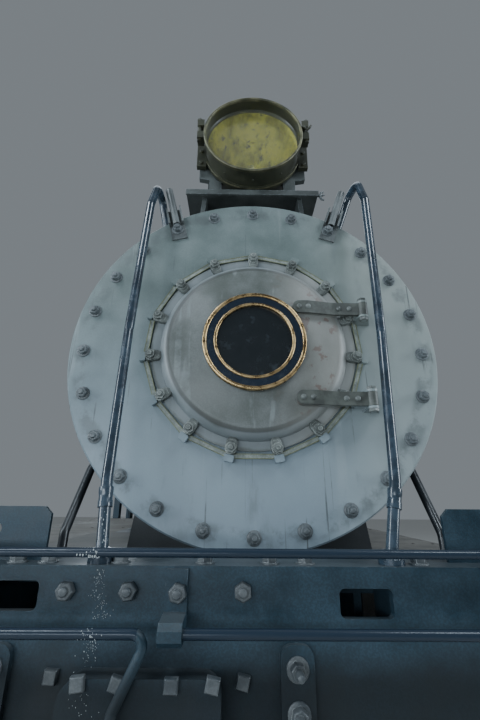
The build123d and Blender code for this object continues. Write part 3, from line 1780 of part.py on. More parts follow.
frame_width = 45
frame_proud = 14
grab_places = (cab_back - cab_wall - door_way - 48, cab_back - 20)
grab_bottom = 1600
grab_top = 2600
grab_reach = 55
with BuildPart() as cab_walls:
    end_wall(cab_front)
    end_wall(cab_back - cab_wall)
    for side in (-1, 1):
        wall = sorted((side * cab_half_width, side * cab_inner))
        slab(wall, (cab_front, cab_back), (cab_floor_z, roof_under(cab_half_width) - seat_gap))
        slab(
            (side * (cab_half_width - 5), side * (cab_half_width + frame_proud)),
            (side_window[0] - frame_width, side_window[1] + frame_width),
            (window_sill - frame_width, window_top + frame_width),
        )
        slab(
            (side * cab_inner, side * (cab_half_width + frame_proud + 1)),
            side_window,
            (window_sill, window_top),
            mode=Mode.SUBTRACT,
        )
        slab(
            (side * (cab_half_width - 5), side * (cab_half_width + 60)),
            (side_window[0] - frame_width, side_window[1] + frame_width),
            (window_sill - frame_width - 22, window_sill - frame_width),
        )
        for grab_y in grab_places:
            pipe(
                [
                    (side * (cab_half_width - 3), grab_y, grab_bottom),
                    (side * (cab_half_width + grab_reach), grab_y, grab_bottom),
                    (side * (cab_half_width + grab_reach), grab_y, grab_top),
                    (side * (cab_half_width - 3), grab_y, grab_top),
                ],
                30,
                12,
            )
        slab(
            wall,
            (cab_back - cab_wall - door_way, cab_back - cab_wall),
            (cab_floor_z + 1, doorway_top),
            mode=Mode.SUBTRACT,
        )
        slab(
            (side * front_lookout[0], side * front_lookout[1]),
            (cab_front - 5, cab_front + cab_wall + 5),
            (front_lookout_sill, window_top),
            mode=Mode.SUBTRACT,
        )
        slab(
            (side * rear_lookout[0], side * rear_lookout[1]),
            (cab_back - cab_wall - 5, cab_back + 5),
            (rear_lookout_sill, window_top),
            mode=Mode.SUBTRACT,
        )
    bar(
        (boiler_x, cab_front - 5, boiler_z),
        (boiler_x, cab_front + cab_wall + 5, boiler_z),
        firebox_radius + seat_gap,
        mode=Mode.SUBTRACT,
    )
    slab(
        (boiler_x - firebox_radius + 85, boiler_x + firebox_radius - 85),
        (cab_front - 5, cab_front + cab_wall + 5),
        (cab_floor_z - 5, boiler_z),
        mode=Mode.SUBTRACT,
    )
cab_walls.part.label = "cab_walls"
export_step(cab_walls.part, "parts/cab_walls.step")

glass_thickness = 6
with BuildPart() as cab_windows:
    glass_front = cab_front + (cab_wall - glass_thickness) / 2
    glass_back = cab_back - (cab_wall + glass_thickness) / 2
    for side in (-1, 1):
        middle = side * (cab_half_width - cab_wall / 2)
        slab(
            (middle - glass_thickness / 2, middle + glass_thickness / 2),
            side_window,
            (window_sill, window_top),
        )
        slab(
            (side * front_lookout[0], side * front_lookout[1]),
            (glass_front, glass_front + glass_thickness),
            (front_lookout_sill, window_top),
        )
        slab(
            (side * rear_lookout[0], side * rear_lookout[1]),
            (glass_back, glass_back + glass_thickness),
            (rear_lookout_sill, window_top),
        )
cab_windows.part.label = "cab_windows"
export_step(cab_windows.part, "parts/cab_windows.step")

vent_front = 1300
vent_back = 1900
with BuildPart() as cab_roof:
    with BuildSketch(end_plane(cab_front - roof_overhang)) as roof_outline:
        with BuildLine() as roof_line:
            ThreePointArc(
                (-roof_half_width, cab_eaves),
                (0, cab_eaves + roof_rise),
                (roof_half_width, cab_eaves),
            )
            Line((roof_half_width, cab_eaves), (roof_half_width, cab_eaves + roof_thickness))
            ThreePointArc(
                (roof_half_width, cab_eaves + roof_thickness),
                (0, cab_eaves + roof_rise + roof_thickness),
                (-roof_half_width, cab_eaves + roof_thickness),
            )
            Line((-roof_half_width, cab_eaves + roof_thickness), (-roof_half_width, cab_eaves))
        make_face(roof_line.line)
    extrude(roof_outline.sketch, amount=cab_back - cab_front + 2 * roof_overhang)
    roof_top = cab_eaves + roof_rise
    slab((-380, 380), (vent_front, vent_back), (roof_top + 5, roof_top + 80))
    slab((-430, 430), (vent_front - 40, vent_back + 40), (roof_top + 78, roof_top + 100))
cab_roof.part.label = "cab_roof"
export_step(cab_roof.part, "parts/cab_roof.step")

# Backhead: fire door, gauges and regulator on the boiler's end
with BuildPart() as backhead:
    bar((boiler_x, firebox_back, boiler_z), (boiler_x, firebox_back + 24, boiler_z), firebox_radius - 40)
    bar((boiler_x, firebox_back + 20, 1780), (boiler_x, firebox_back + 60, 1780), 210)
    slab((boiler_x - 30, boiler_x + 30), (firebox_back + 20, firebox_back + 90), (2300, 2500))
    bar((boiler_x, firebox_back + 70, 2420), (boiler_x - 420, firebox_back + 130, 2300), 16)
    for gauge_x in (-260, 240):
        bar(
            (boiler_x + gauge_x, firebox_back + 20, 2620),
            (boiler_x + gauge_x, firebox_back + 70, 2620),
            90,
        )
backhead.part.label = "backhead"
export_step(backhead.part, "parts/backhead.step")

filler_y = 4600
filler_radius = 240
filler_bore = 210
filler_rise = 60
lid_thickness = 16
lid_pin_radius = 9
lid_hinge_y = filler_y - filler_radius - 28
lid_z = tank_top + filler_rise
tank_corner = 70
bunker_floor = 1750
ladder_x = (-1130, -770)
ladder_reach = 60

# Tank and bunker: an open fuel bunker ahead of a closed water tank
with BuildPart() as tank:
    tank_x = (-tank_half_width, tank_half_width)
    rounded_block(tank_x, (tank_front, tank_back), (sill_top, tank_top), tank_corner)
    rounded_block(tank_x, (tank_front, bunker_back), (tank_top - 5, bunker_top), tank_corner)
    slab(
        (-tank_half_width + plate_wall, tank_half_width - plate_wall),
        (tank_front + plate_wall, bunker_back - plate_wall),
        (bunker_floor, bunker_top + 5),
        mode=Mode.SUBTRACT,
    )
    bar((0, filler_y, tank_top - 5), (0, filler_y, lid_z), filler_radius)
    bar((0, filler_y, tank_top - 200), (0, filler_y, lid_z + 5), filler_bore, mode=Mode.SUBTRACT)
    for rung_z in (1640, 1900, 2160, 2420):
        pipe(
            [
                (ladder_x[0], tank_back - 3, rung_z),
                (ladder_x[0], tank_back + ladder_reach, rung_z),
                (ladder_x[1], tank_back + ladder_reach, rung_z),
                (ladder_x[1], tank_back - 3, rung_z),
            ],
            24,
            10,
        )
tank.part.label = "tank"
export_step(tank.part, "parts/tank.step")

with BuildPart() as lid_hinge:
    for side in (-1, 1):
        slab((side * 70 - 12, side * 70 + 12), (lid_hinge_y - 20, lid_hinge_y + 20), (tank_top, lid_z + 26))
    bar((-90, lid_hinge_y, lid_z + 10), (90, lid_hinge_y, lid_z + 10), lid_pin_radius)
lid_hinge.part.label = "tank_lid_hinge"
export_step(lid_hinge.part, "parts/tank_lid_hinge.step")

with BuildPart() as tank_lid:
    bar((0, filler_y, lid_z + seat_gap), (0, filler_y, lid_z + lid_thickness), filler_radius + 6)
    slab((-45, 45), (lid_hinge_y, filler_y - 100), (lid_z + seat_gap, lid_z + lid_thickness))
    bar((-52, lid_hinge_y, lid_z + 10), (52, lid_hinge_y, lid_z + 10), lid_pin_radius + 8)
    bar(
        (-60, lid_hinge_y, lid_z + 10),
        (60, lid_hinge_y, lid_z + 10),
        lid_pin_radius + running_gap,
        mode=Mode.SUBTRACT,
    )
tank_lid.part.label = "tank_lid"
export_step(tank_lid.part, "parts/tank_lid.step")

# Rear headlight on the tank
rear_lamp_y = 4990
rear_lamp_z = tank_top + 320
with BuildPart() as rear_lamp:
    slab((-130, 130), (rear_lamp_y - 80, rear_lamp_y + 80), (tank_top, tank_top + 20))
    for side in (-1, 1):
        slab(
            (side * 110 - 8, side * 110 + 8),
            (rear_lamp_y - 60, rear_lamp_y + 60),
            (tank_top + 15, rear_lamp_z),
        )
    turned(
        lengthwise(0, rear_lamp_y, rear_lamp_z),
        [(0, -150), (90, -150), (170, -60), (170, 130), (158, 130), (150, 40), (0, 10)],
    )
rear_lamp.part.label = "rear_headlight"
export_step(rear_lamp.part, "parts/rear_headlight.step")

# Running boards with their brackets
board_thickness = 25
board_outer = 1350
board_inner = sill_x + 75
board_top = sill_top - 2
bracket_thickness = 14
board_table = (
    # side, front, back, then where the brackets stand
    (1, -frame_end, cab_front, (-4900, -4050, -3000, -2100, -350, 480)),
    (-1, -frame_end, -1500, (-4900, -4050, -3000, -2050)),
)
with BuildPart() as boards:
    for side, board_front, board_back, bracket_places in board_table:
        under = board_top - board_thickness
        slab(
            (side * board_inner, side * board_outer),
            (board_front, board_back),
            (under, board_top),
        )
        for bracket_y in bracket_places:
            bracket = [
                (board_inner, under + 1),
                (board_outer - 30, under + 1),
                (board_outer - 30, under - 22),
                (board_inner + 60, under - 150),
                (board_inner, under - 150),
            ]
            plate(end_plane(bracket_y), [(-side * x, z) for x, z in bracket], bracket_thickness)
boards.part.label = "running_boards"
export_step(boards.part, "parts/running_boards.step")

# Air tanks under the running board and the pump on the boiler's side
with BuildPart() as air_tanks:
    turned(
        lengthwise(1120, -1900, 1180),
        [(0, 0), (140, 20), (190, 70), (190, 1230), (140, 1280), (0, 1300)],
    )
    for strap_y in (-1600, -900):
        slab((1100, 1140), (strap_y - 20, strap_y + 20), (1340, sill_top - 27))
air_tanks.part.label = "air_tanks"
export_step(air_tanks.part, "parts/air_tanks.step")

with BuildPart() as pump:
    pump_x = boiler_x + 830
    pump_y = -2300
    turned(
        upright(pump_x, pump_y, 1700),
        [
            (0, 0), (150, 0), (150, 30), (120, 34), (120, 290), (150, 294), (150, 320), (40, 330),
            (40, 420), (150, 430), (150, 456), (115, 460), (115, 730), (150, 734), (150, 770), (0, 790),
        ],
    )
    slab((boiler_x + 500, pump_x - 100), (pump_y - 120, pump_y + 120), (2230, 2330))
    bar(
        (boiler_x, pump_y - 300, boiler_z),
        (boiler_x, pump_y + 300, boiler_z),
        barrel_radius + seat_gap,
        mode=Mode.SUBTRACT,
    )
pump.part.label = "air_compressor"
export_step(pump.part, "parts/air_compressor.step")

# Handrails along the boiler
with BuildPart() as boiler_rails:
    for side in (-1, 1):
        rail_x = boiler_x + side * (barrel_radius * math.cos(math.radians(35)) + 75)
        rail_z = boiler_z + barrel_radius * math.sin(math.radians(35)) + 30
        bar((rail_x, -4850, rail_z), (rail_x, -1300, rail_z), 15)
        for post_y in (-3350, -2550, -1500):
            foot = Vector(side * math.cos(math.radians(35)), 0, math.sin(math.radians(35)))
            start = Vector(boiler_x, post_y, boiler_z) + foot * (barrel_radius + lagging_band + seat_gap)
            bar(tuple(start), (rail_x, post_y, rail_z), 13)
boiler_rails.part.label = "boiler_handrails"
export_step(boiler_rails.part, "parts/boiler_handrails.step")
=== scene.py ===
import random
from math import cos, pi, radians, sin, sqrt, tan

import bmesh
import bpy
from mathutils import Matrix, Vector
from mathutils.bvhtree import BVHTree


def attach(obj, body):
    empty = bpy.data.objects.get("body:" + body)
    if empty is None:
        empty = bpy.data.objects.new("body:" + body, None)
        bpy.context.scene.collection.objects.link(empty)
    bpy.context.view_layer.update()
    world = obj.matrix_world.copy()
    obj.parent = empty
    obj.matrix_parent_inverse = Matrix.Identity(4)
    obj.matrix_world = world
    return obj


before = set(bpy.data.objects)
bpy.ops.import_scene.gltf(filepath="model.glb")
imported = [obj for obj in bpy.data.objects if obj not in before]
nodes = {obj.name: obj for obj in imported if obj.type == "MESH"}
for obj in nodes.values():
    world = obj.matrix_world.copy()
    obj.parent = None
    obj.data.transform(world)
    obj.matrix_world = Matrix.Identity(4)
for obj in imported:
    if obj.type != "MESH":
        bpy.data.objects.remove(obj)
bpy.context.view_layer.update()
random.seed(7)
forward = Vector((0, -1, 0))  # the way the front looks
upward = Vector((0, 0, 1))
boilerX = 0.27
frontCentre = Vector((boilerX, -4.99, 2.175))
doorCentre = frontCentre + upward * 0.014
plateCentre = frontCentre + upward * 0.008
hingeHeights = (2.328, 1.976)
print("stage: frame loaded,", len(nodes), "nodes")


# a socket takes a link, a number, a vector, or a colour with or without its alpha
def feed(tree, node, inputs):
    for key, value in inputs.items():
        socket = node.inputs[key]
        if isinstance(value, bpy.types.NodeSocket):
            tree.links.new(value, socket)
        elif socket.type == "RGBA":
            socket.default_value = tuple(value) + (1,) * (4 - len(value))
        else:
            socket.default_value = value


def addNode(tree, kind, inputs=None, **settings):
    node = tree.nodes.new("ShaderNode" + kind)
    for key, value in settings.items():
        setattr(node, key, value)
    feed(tree, node, inputs or {})
    return node


def maths(tree, operation, *values, clamp=False):
    return addNode(tree, "Math", dict(enumerate(values)), operation=operation, use_clamp=clamp).outputs[0]


def product(tree, first, *others):
    for other in others:
        first = maths(tree, "MULTIPLY", first, other)
    return first


def smoothStep(tree, value, low, high):
    return addNode(tree, "MapRange", {"Value": value, "From Min": low, "From Max": high},
                   interpolation_type="SMOOTHSTEP").outputs["Result"]


def spread(tree, value, low, high):
    return addNode(tree, "MapRange", {"Value": value, "To Min": low, "To Max": high}).outputs["Result"]


def bandMask(tree, value, low, high, soft):
    return product(tree, smoothStep(tree, value, low - soft, low + soft),
                   smoothStep(tree, value, high + soft, high - soft))


def mixColour(tree, factor, first, second):
    return addNode(tree, "Mix", {0: factor, 6: first, 7: second}, data_type="RGBA").outputs[2]


# another coat over a colour, as strong as the product of its masks
def overlay(tree, colour, over, *masks):
    return mixColour(tree, product(tree, *masks), colour, over)


def noise(tree, vector, scale, detail=4, rough=0.6, stretch=None):
    if stretch:
        vector = addNode(tree, "Mapping", {"Vector": vector, "Scale": stretch}).outputs[0]
    inputs = {"Vector": vector, "Scale": scale, "Detail": detail, "Roughness": rough}
    return addNode(tree, "TexNoise", inputs).outputs["Fac"]


def bumpFrom(tree, height, strength, distance):
    return addNode(tree, "Bump", {"Height": height, "Strength": strength, "Distance": distance}).outputs[0]


def splitPlace(tree, where):
    return addNode(tree, "SeparateXYZ", {0: where}).outputs


# a group's inputs are the place and named values, its outputs what the fill function returns
def newGroup(name, fill, **values):
    group = bpy.data.node_groups.new(name, "ShaderNodeTree")
    for label, value in {"Vector": (0, 0, 0), **values}.items():
        kind = {3: "Vector", 4: "Color"}[len(value)] if isinstance(value, tuple) else "Float"
        socket = group.interface.new_socket(name=label, in_out="INPUT", socket_type="NodeSocket" + kind)
        socket.default_value = value
    made = fill(group, group.nodes.new("NodeGroupInput").outputs)
    end = group.nodes.new("NodeGroupOutput")
    for label, source in made.items():
        kind = "Color" if label == "Color" else "Float"
        group.interface.new_socket(name=label, in_out="OUTPUT", socket_type="NodeSocket" + kind)
        group.links.new(source, end.inputs[label])
    return group


# patches of lighter and darker old paint, with fine grain over them
def fillMottle(tree, given):
    broad = noise(tree, given["Vector"], given["PatchScale"], 6, 0.62)
    fine = noise(tree, given["Vector"], 190, 3)
    low, high = (maths(tree, "ADD", given["Balance"], reach) for reach in (-0.16, 0.16))
    patches = smoothStep(tree, broad, low, high)
    coat = mixColour(tree, patches, given["Dark"], given["Light"])
    darker = mixColour(tree, given["Grain"], coat, (0.01, 0.011, 0.012))
    colour = mixColour(tree, smoothStep(tree, fine, 0.42, 0.62), darker, coat)
    height = maths(tree, "ADD", product(tree, fine, 0.35), product(tree, broad, 0.6))
    return {"Color": colour, "Patches": patches, "Height": height}


# runs of lime and dirt down an upright face
def fillStreaks(tree, given):
    scales = ("WidthScale", "WidthScale", "LengthScale")
    parts = splitPlace(tree, given["Vector"])
    stretched = {axis: product(tree, parts[axis], given[scale]) for axis, scale in enumerate(scales)}
    lines = noise(tree, addNode(tree, "CombineXYZ", stretched).outputs[0], 1, 3, 0.5)
    broken = smoothStep(tree, noise(tree, given["Vector"], 9), 0.35, 0.6)
    low = maths(tree, "SUBTRACT", 0.78, product(tree, given["Amount"], 0.3))
    return {"Mask": product(tree, smoothStep(tree, lines, low, maths(tree, "ADD", low, 0.1)), broken)}


# small spots where the paint has gone and rust shows
def fillRust(tree, given):
    spots = noise(tree, given["Vector"], given["Scale"], 9, 0.68)
    low = maths(tree, "SUBTRACT", 0.8, product(tree, given["Amount"], 0.3))
    colour = mixColour(tree, noise(tree, given["Vector"], 120), (0.045, 0.02, 0.012), (0.16, 0.07, 0.035))
    return {"Mask": smoothStep(tree, spots, low, maths(tree, "ADD", low, 0.06)), "Color": colour}


# rubbed metal on corners, from the turn of the surface within a few millimetres
def fillEdges(tree, given):
    rounded = addNode(tree, "Bevel", {"Radius": given["Width"]}, samples=4).outputs[0]
    normal = addNode(tree, "NewGeometry").outputs["Normal"]
    turn = addNode(tree, "VectorMath", {0: rounded, 1: normal}, operation="DOT_PRODUCT").outputs["Value"]
    corner = smoothStep(tree, maths(tree, "SUBTRACT", 1, turn), 0.02, 0.14)
    low = maths(tree, "SUBTRACT", 0.75, product(tree, given["Amount"], 0.5))
    broken = smoothStep(tree, noise(tree, given["Vector"], 55, 5, 0.65), low, maths(tree, "ADD", low, 0.15))
    return {"Mask": product(tree, corner, broken)}


# settled dust on faces that look upwards
def fillDust(tree, given):
    level = smoothStep(tree, splitPlace(tree, addNode(tree, "NewGeometry").outputs["Normal"])[2], 0.25, 0.95)
    cloud = smoothStep(tree, noise(tree, given["Vector"], 7, 5), 0.3, 0.7)
    soft = maths(tree, "ADD", product(tree, cloud, 0.6), 0.4)
    return {"Mask": maths(tree, "MULTIPLY", product(tree, level, soft), given["Amount"], clamp=True)}


mottleGroup = newGroup("paintMottle", fillMottle, Dark=(0.05, 0.06, 0.07, 1), Light=(0.15, 0.17, 0.18, 1),
                       PatchScale=3, Balance=0.5, Grain=0.15)
dustGroup = newGroup("settledDust", fillDust, Amount=0.5)
# layers over a coat: the group, the sizes it is fed, how far it hides the coat and how much it roughens it
paintLayers = {
    "streak": (newGroup("wallStreaks", fillStreaks, WidthScale=22, LengthScale=0.9, Amount=0.5),
               {"WidthScale": "streakWidth"}, 0.6, 0.15),
    "rust": (newGroup("rustSpots", fillRust, Scale=14, Amount=0.3), {"Scale": "rustScale"}, 1, 0.3),
    "edge": (newGroup("edgeWear", fillEdges, Width=0.004, Amount=0.5), {"Width": "edgeWidth"}, 1, -0.12),
    "dust": (dustGroup, {}, 1, 0.35),
}
print("stage: shader groups made")


def partsOf(material):
    tree = material.node_tree
    return tree, tree.nodes["Principled BSDF"], addNode(tree, "TexCoord").outputs["Object"]


def newMaterial(name):
    material = bpy.data.materials.new(name)
    material.use_nodes = True
    return (material, *partsOf(material))


def sourceOf(shader, label):
    return shader.inputs[label].links[0].from_socket


# the paint that most of the machine wears; rough is for the dark and the light patches
paintDefaults = {
    "patchScale": 3, "balance": 0.5, "grain": 0.2, "rough": (0.38, 0.6), "metal": 0, "coat": 0,
    "streak": 0, "streakWidth": 22, "streakColour": (0.3, 0.33, 0.33), "rust": 0, "rustScale": 14,
    "edge": 0, "edgeWidth": 0.004, "edgeColour": (0.2, 0.2, 0.19), "edgeMetal": 0.7,
    "dust": 0, "dustColour": (0.22, 0.21, 0.19), "bump": 0.25, "bumpDistance": 0.002, "specular": 0.5,
}


def makePaint(name, **changes):
    look = {**paintDefaults, **changes}
    material, tree, shader, where = newMaterial(name)
    mottle = addNode(tree, "Group", {
        "Vector": where, "Dark": look["dark"], "Light": look["light"], "Balance": look["balance"],
        "PatchScale": look["patchScale"], "Grain": look["grain"]}, node_tree=mottleGroup).outputs
    colour, metal = mottle["Color"], look["metal"]
    rough = spread(tree, mottle["Patches"], *look["rough"])
    for layer, (group, sizes, hiding, roughening) in paintLayers.items():
        if look[layer] == 0:
            continue
        inputs = {"Vector": where, "Amount": look[layer], **{label: look[key] for label, key in sizes.items()}}
        made = addNode(tree, "Group", inputs, node_tree=group).outputs
        over = made["Color"] if layer == "rust" else look[layer + "Colour"]
        colour = overlay(tree, colour, over, made["Mask"], hiding)
        rough = maths(tree, "ADD", rough, product(tree, made["Mask"], roughening), clamp=True)
        if layer == "edge" and metal == 0:
            metal = product(tree, made["Mask"], look["edgeMetal"])
    feed(tree, shader, {
        "Base Color": colour, "Roughness": rough, "Metallic": metal, "Coat Weight": look["coat"],
        "Normal": bumpFrom(tree, mottle["Height"], look["bump"], look["bumpDistance"]),
        "Specular IOR Level": look["specular"]})
    return material


paintValues = {
    "frontPaint": dict(dark=(0.095, 0.125, 0.12), light=(0.165, 0.205, 0.205), patchScale=2.2, balance=0.48,
        grain=0.1, streak=0.55, streakColour=(0.27, 0.31, 0.31), rust=0.12, rustScale=11, rough=(0.36, 0.52),
        bump=0.22, dust=0.25),
    "shellPaint": dict(dark=(0.02, 0.024, 0.027), light=(0.045, 0.052, 0.056), patchScale=2, grain=0.25,
        streak=0.25, streakColour=(0.12, 0.12, 0.115), rust=0.14, dust=0.45, rough=(0.42, 0.62), bump=0.3),
    "doorPaint": dict(dark=(0.085, 0.096, 0.088), light=(0.155, 0.17, 0.168), patchScale=4.5, grain=0.14,
        streak=0.62, streakColour=(0.24, 0.275, 0.28), streakWidth=26, rust=0.14, rustScale=9,
        rough=(0.34, 0.52), bump=0.35),
    "clampIron": dict(dark=(0.062, 0.07, 0.066), light=(0.185, 0.205, 0.195), patchScale=16, grain=0.25,
        rust=0.2, rustScale=30, edge=0.75, edgeColour=(0.4, 0.43, 0.4), edgeMetal=0.3, rough=(0.34, 0.55),
        bump=0.4),
    "boltPaint": dict(dark=(0.07, 0.082, 0.088), light=(0.14, 0.16, 0.17), patchScale=20, rust=0.16,
        rustScale=40, edge=0.5, edgeWidth=0.003, edgeColour=(0.3, 0.32, 0.32), edgeMetal=0.3,
        rough=(0.32, 0.5), bump=0.35),
    "beamPaint": dict(dark=(0.01, 0.026, 0.038), light=(0.027, 0.054, 0.076), patchScale=3.5, grain=0.3,
        streak=0.2, streakColour=(0.09, 0.12, 0.135), streakWidth=30, rust=0.12, rustScale=18, edge=0.45,
        edgeColour=(0.1, 0.13, 0.15), edgeMetal=0.2, dust=0.2, rough=(0.3, 0.52), bump=0.45, specular=0.28),
    "railBlack": dict(dark=(0.011, 0.021, 0.033), light=(0.028, 0.05, 0.074), patchScale=14, balance=0.52,
        grain=0.18, rust=0.05, rustScale=30, rough=(0.18, 0.32), bump=0.09, coat=0.35),
    "lampPaint": dict(dark=(0.016, 0.018, 0.01), light=(0.038, 0.04, 0.022), patchScale=9, grain=0.25,
        rust=0.16, rustScale=22, edge=0.55, edgeColour=(0.16, 0.15, 0.09), edgeMetal=0.4, dust=0.3,
        rough=(0.3, 0.5), bump=0.35),
    "jacketPaint": dict(dark=(0.016, 0.019, 0.022), light=(0.032, 0.037, 0.041), patchScale=1.4, streak=0.2,
        streakColour=(0.11, 0.11, 0.105), rust=0.08, dust=0.45, rough=(0.26, 0.46), bump=0.2, specular=0.6),
    "castBlack": dict(dark=(0.018, 0.019, 0.02), light=(0.038, 0.04, 0.041), patchScale=6, grain=0.3,
        rust=0.18, rustScale=16, edge=0.3, dust=0.4, rough=(0.4, 0.62), bump=0.6),
    "cabPaint": dict(dark=(0.017, 0.021, 0.024), light=(0.03, 0.036, 0.04), patchScale=1.8, streak=0.3,
        streakColour=(0.1, 0.105, 0.1), rust=0.1, dust=0.3, rough=(0.3, 0.5)),
    "roofPaint": dict(dark=(0.03, 0.03, 0.029), light=(0.06, 0.06, 0.056), patchScale=2.4, grain=0.35,
        rust=0.25, rustScale=7, dust=0.6, rough=(0.55, 0.8), bump=0.6),
    "wheelIron": dict(dark=(0.028, 0.024, 0.021), light=(0.06, 0.052, 0.045), patchScale=7, grain=0.35,
        rust=0.42, rustScale=9, edge=0.35, dust=0.4, rough=(0.45, 0.68), bump=0.6),
    "couplerIron": dict(dark=(0.03, 0.024, 0.02), light=(0.06, 0.05, 0.042), patchScale=9, grain=0.35,
        rust=0.45, edge=0.5, dust=0.3, rough=(0.42, 0.65), bump=0.7),
    "truckIron": dict(dark=(0.02, 0.02, 0.02), light=(0.042, 0.04, 0.037), patchScale=5, grain=0.35,
        rust=0.3, rustScale=12, edge=0.3, dust=0.5, rough=(0.45, 0.68), bump=0.6),
    "deckSteel": dict(dark=(0.035, 0.035, 0.034), light=(0.075, 0.073, 0.068), grain=0.35, rust=0.3,
        rustScale=8, edge=0.4, dust=0.6, rough=(0.45, 0.7), bump=0.5),
    "shelfPaint": dict(dark=(0.04, 0.047, 0.046), light=(0.095, 0.108, 0.106), patchScale=6, streak=0.3,
        streakColour=(0.2, 0.23, 0.24), rust=0.14, rustScale=20, edge=0.6, edgeColour=(0.26, 0.3, 0.32),
        edgeMetal=0.2, dust=0.2, bump=0.3),
    "socketPaint": dict(dark=(0.06, 0.068, 0.07), light=(0.125, 0.14, 0.142), patchScale=12, rust=0.22,
        rustScale=26, edge=0.6, edgeColour=(0.27, 0.29, 0.28), edgeMetal=0.3, rough=(0.34, 0.55), bump=0.35),
    "braceBlack": dict(dark=(0.011, 0.014, 0.017), light=(0.028, 0.034, 0.04), patchScale=8, grain=0.25,
        rust=0.12, rustScale=20, edge=0.3, rough=(0.26, 0.44), bump=0.35),
    "ringPaint": dict(dark=(0.15, 0.17, 0.155), light=(0.29, 0.32, 0.29), patchScale=24, rust=0.12,
        rustScale=40, rough=(0.36, 0.55), bump=0.3),
    "oldGreen": dict(dark=(0.105, 0.115, 0.045), light=(0.22, 0.23, 0.105), patchScale=30, grain=0.3,
        rust=0.2, rustScale=40, rough=(0.42, 0.62), bump=0.3),
    "rimBrass": dict(dark=(0.27, 0.18, 0.085), light=(0.6, 0.43, 0.22), patchScale=26, grain=0.15, metal=1,
        rough=(0.2, 0.38), bump=0.15),
    "lampBrass": dict(dark=(0.055, 0.055, 0.032), light=(0.19, 0.18, 0.11), patchScale=20, grain=0.3,
        metal=0.5, rough=(0.3, 0.48)),
    "beamBoltPaint": dict(dark=(0.036, 0.045, 0.052), light=(0.09, 0.1, 0.105), patchScale=16, grain=0.25,
        rust=0.25, rustScale=34, edge=0.65, edgeWidth=0.003, edgeColour=(0.26, 0.28, 0.28), edgeMetal=0.3,
        rough=(0.3, 0.5), bump=0.4),
    "whiteDrips": dict(dark=(0.26, 0.29, 0.3), light=(0.54, 0.57, 0.57), patchScale=50, grain=0.3,
        rough=(0.45, 0.7), bump=0.4),
    "sashPaint": dict(dark=(0.022, 0.02, 0.016), light=(0.048, 0.042, 0.034), patchScale=7, grain=0.3,
        streak=0.2, rust=0.06, rough=(0.36, 0.58), bump=0.4),
    "gaugeWhite": dict(dark=(0.46, 0.45, 0.4), light=(0.64, 0.63, 0.58), patchScale=20, grain=0.1,
        rough=(0.25, 0.4), bump=0.1),
    "brightSteel": dict(dark=(0.3, 0.3, 0.29), light=(0.48, 0.48, 0.47), patchScale=5, grain=0.25,
        rust=0.18, rustScale=20, metal=0.9, rough=(0.24, 0.42), bump=0.2),
    "plainBrass": dict(dark=(0.26, 0.17, 0.075), light=(0.52, 0.36, 0.17), patchScale=18, metal=1,
        rough=(0.24, 0.42), bump=0.15),
}
paints = {name: makePaint(name, **values) for name, values in paintValues.items()}


# distance from the line that runs along the machine through a point
def ringDistance(tree, where, centre):
    moved = addNode(tree, "VectorMath", {0: where, 1: centre}, operation="SUBTRACT").outputs[0]
    level = addNode(tree, "VectorMath", {0: moved, 1: (1, 0, 1)}, operation="MULTIPLY").outputs[0]
    return addNode(tree, "VectorMath", {0: level}, operation="LENGTH").outputs["Value"]


def uneven(tree, noisy, amount):
    return product(tree, maths(tree, "SUBTRACT", noisy, 0.5), amount)


# layers laid over a paint one after another, each as strong as its masks and its amount; some are wear and dirt,
# some painted light and shade
def layWearAndLight(tree, shader, look, layers):
    colour = sourceOf(shader, "Base Color")
    for layer, masks in layers.items():
        colour = overlay(tree, colour, look[layer + "Colour"], *masks, look[layer + "Amount"])
    return colour


# painted light: the plate is painted paler and bluer towards its foot and paler towards its right side, as if
# lit there, with thin dark scratches running down it
frontLook = {
    "foot": (2.55, 1.55), "footColour": (0.245, 0.312, 0.378), "footAmount": 0.62,
    "pale": (0.15, 0.55), "paleColour": (0.32, 0.35, 0.33), "paleAmount": 0.5,
    "smudge": (0.54, 0.68), "smudgeColour": (0.105, 0.125, 0.128), "smudgeAmount": 0.45,
    "ring": (0.628, 0.688, 0.012), "ringColour": (0.085, 0.098, 0.1), "ringAmount": 0.55,
    "line": (0.64, 0.69), "lineColour": (0.075, 0.085, 0.085), "lineAmount": 0.85,
}


def paintFrontWearAndLight(material):
    look = frontLook
    tree, shader, where = partsOf(material)
    across, _, height = splitPlace(tree, where)
    smudge = noise(tree, where, 1, 6, 0.62, (7.5, 7.5, 2.6))
    ring = bandMask(tree, ringDistance(tree, where, frontCentre), *look["ring"])
    grime = smoothStep(tree, noise(tree, where, 11, 6, 0.66), 0.46, 0.62)
    line = noise(tree, where, 1, 2, 0.5, (85, 85, 1.1))
    broken = smoothStep(tree, noise(tree, where, 5), 0.45, 0.6)
    colour = layWearAndLight(tree, shader, look, {
        # painted light: paler and bluer towards the foot of the plate
        "foot": [smoothStep(tree, height, *look["foot"])],
        # painted light: paler towards the right side of the plate
        "pale": [smoothStep(tree, across, *(boilerX + x for x in look["pale"]))],
        "smudge": [smoothStep(tree, smudge, *look["smudge"])],
        "ring": [ring, grime],
        "line": [smoothStep(tree, line, *look["line"]), broken],
    })
    feed(tree, shader, {"Base Color": colour})


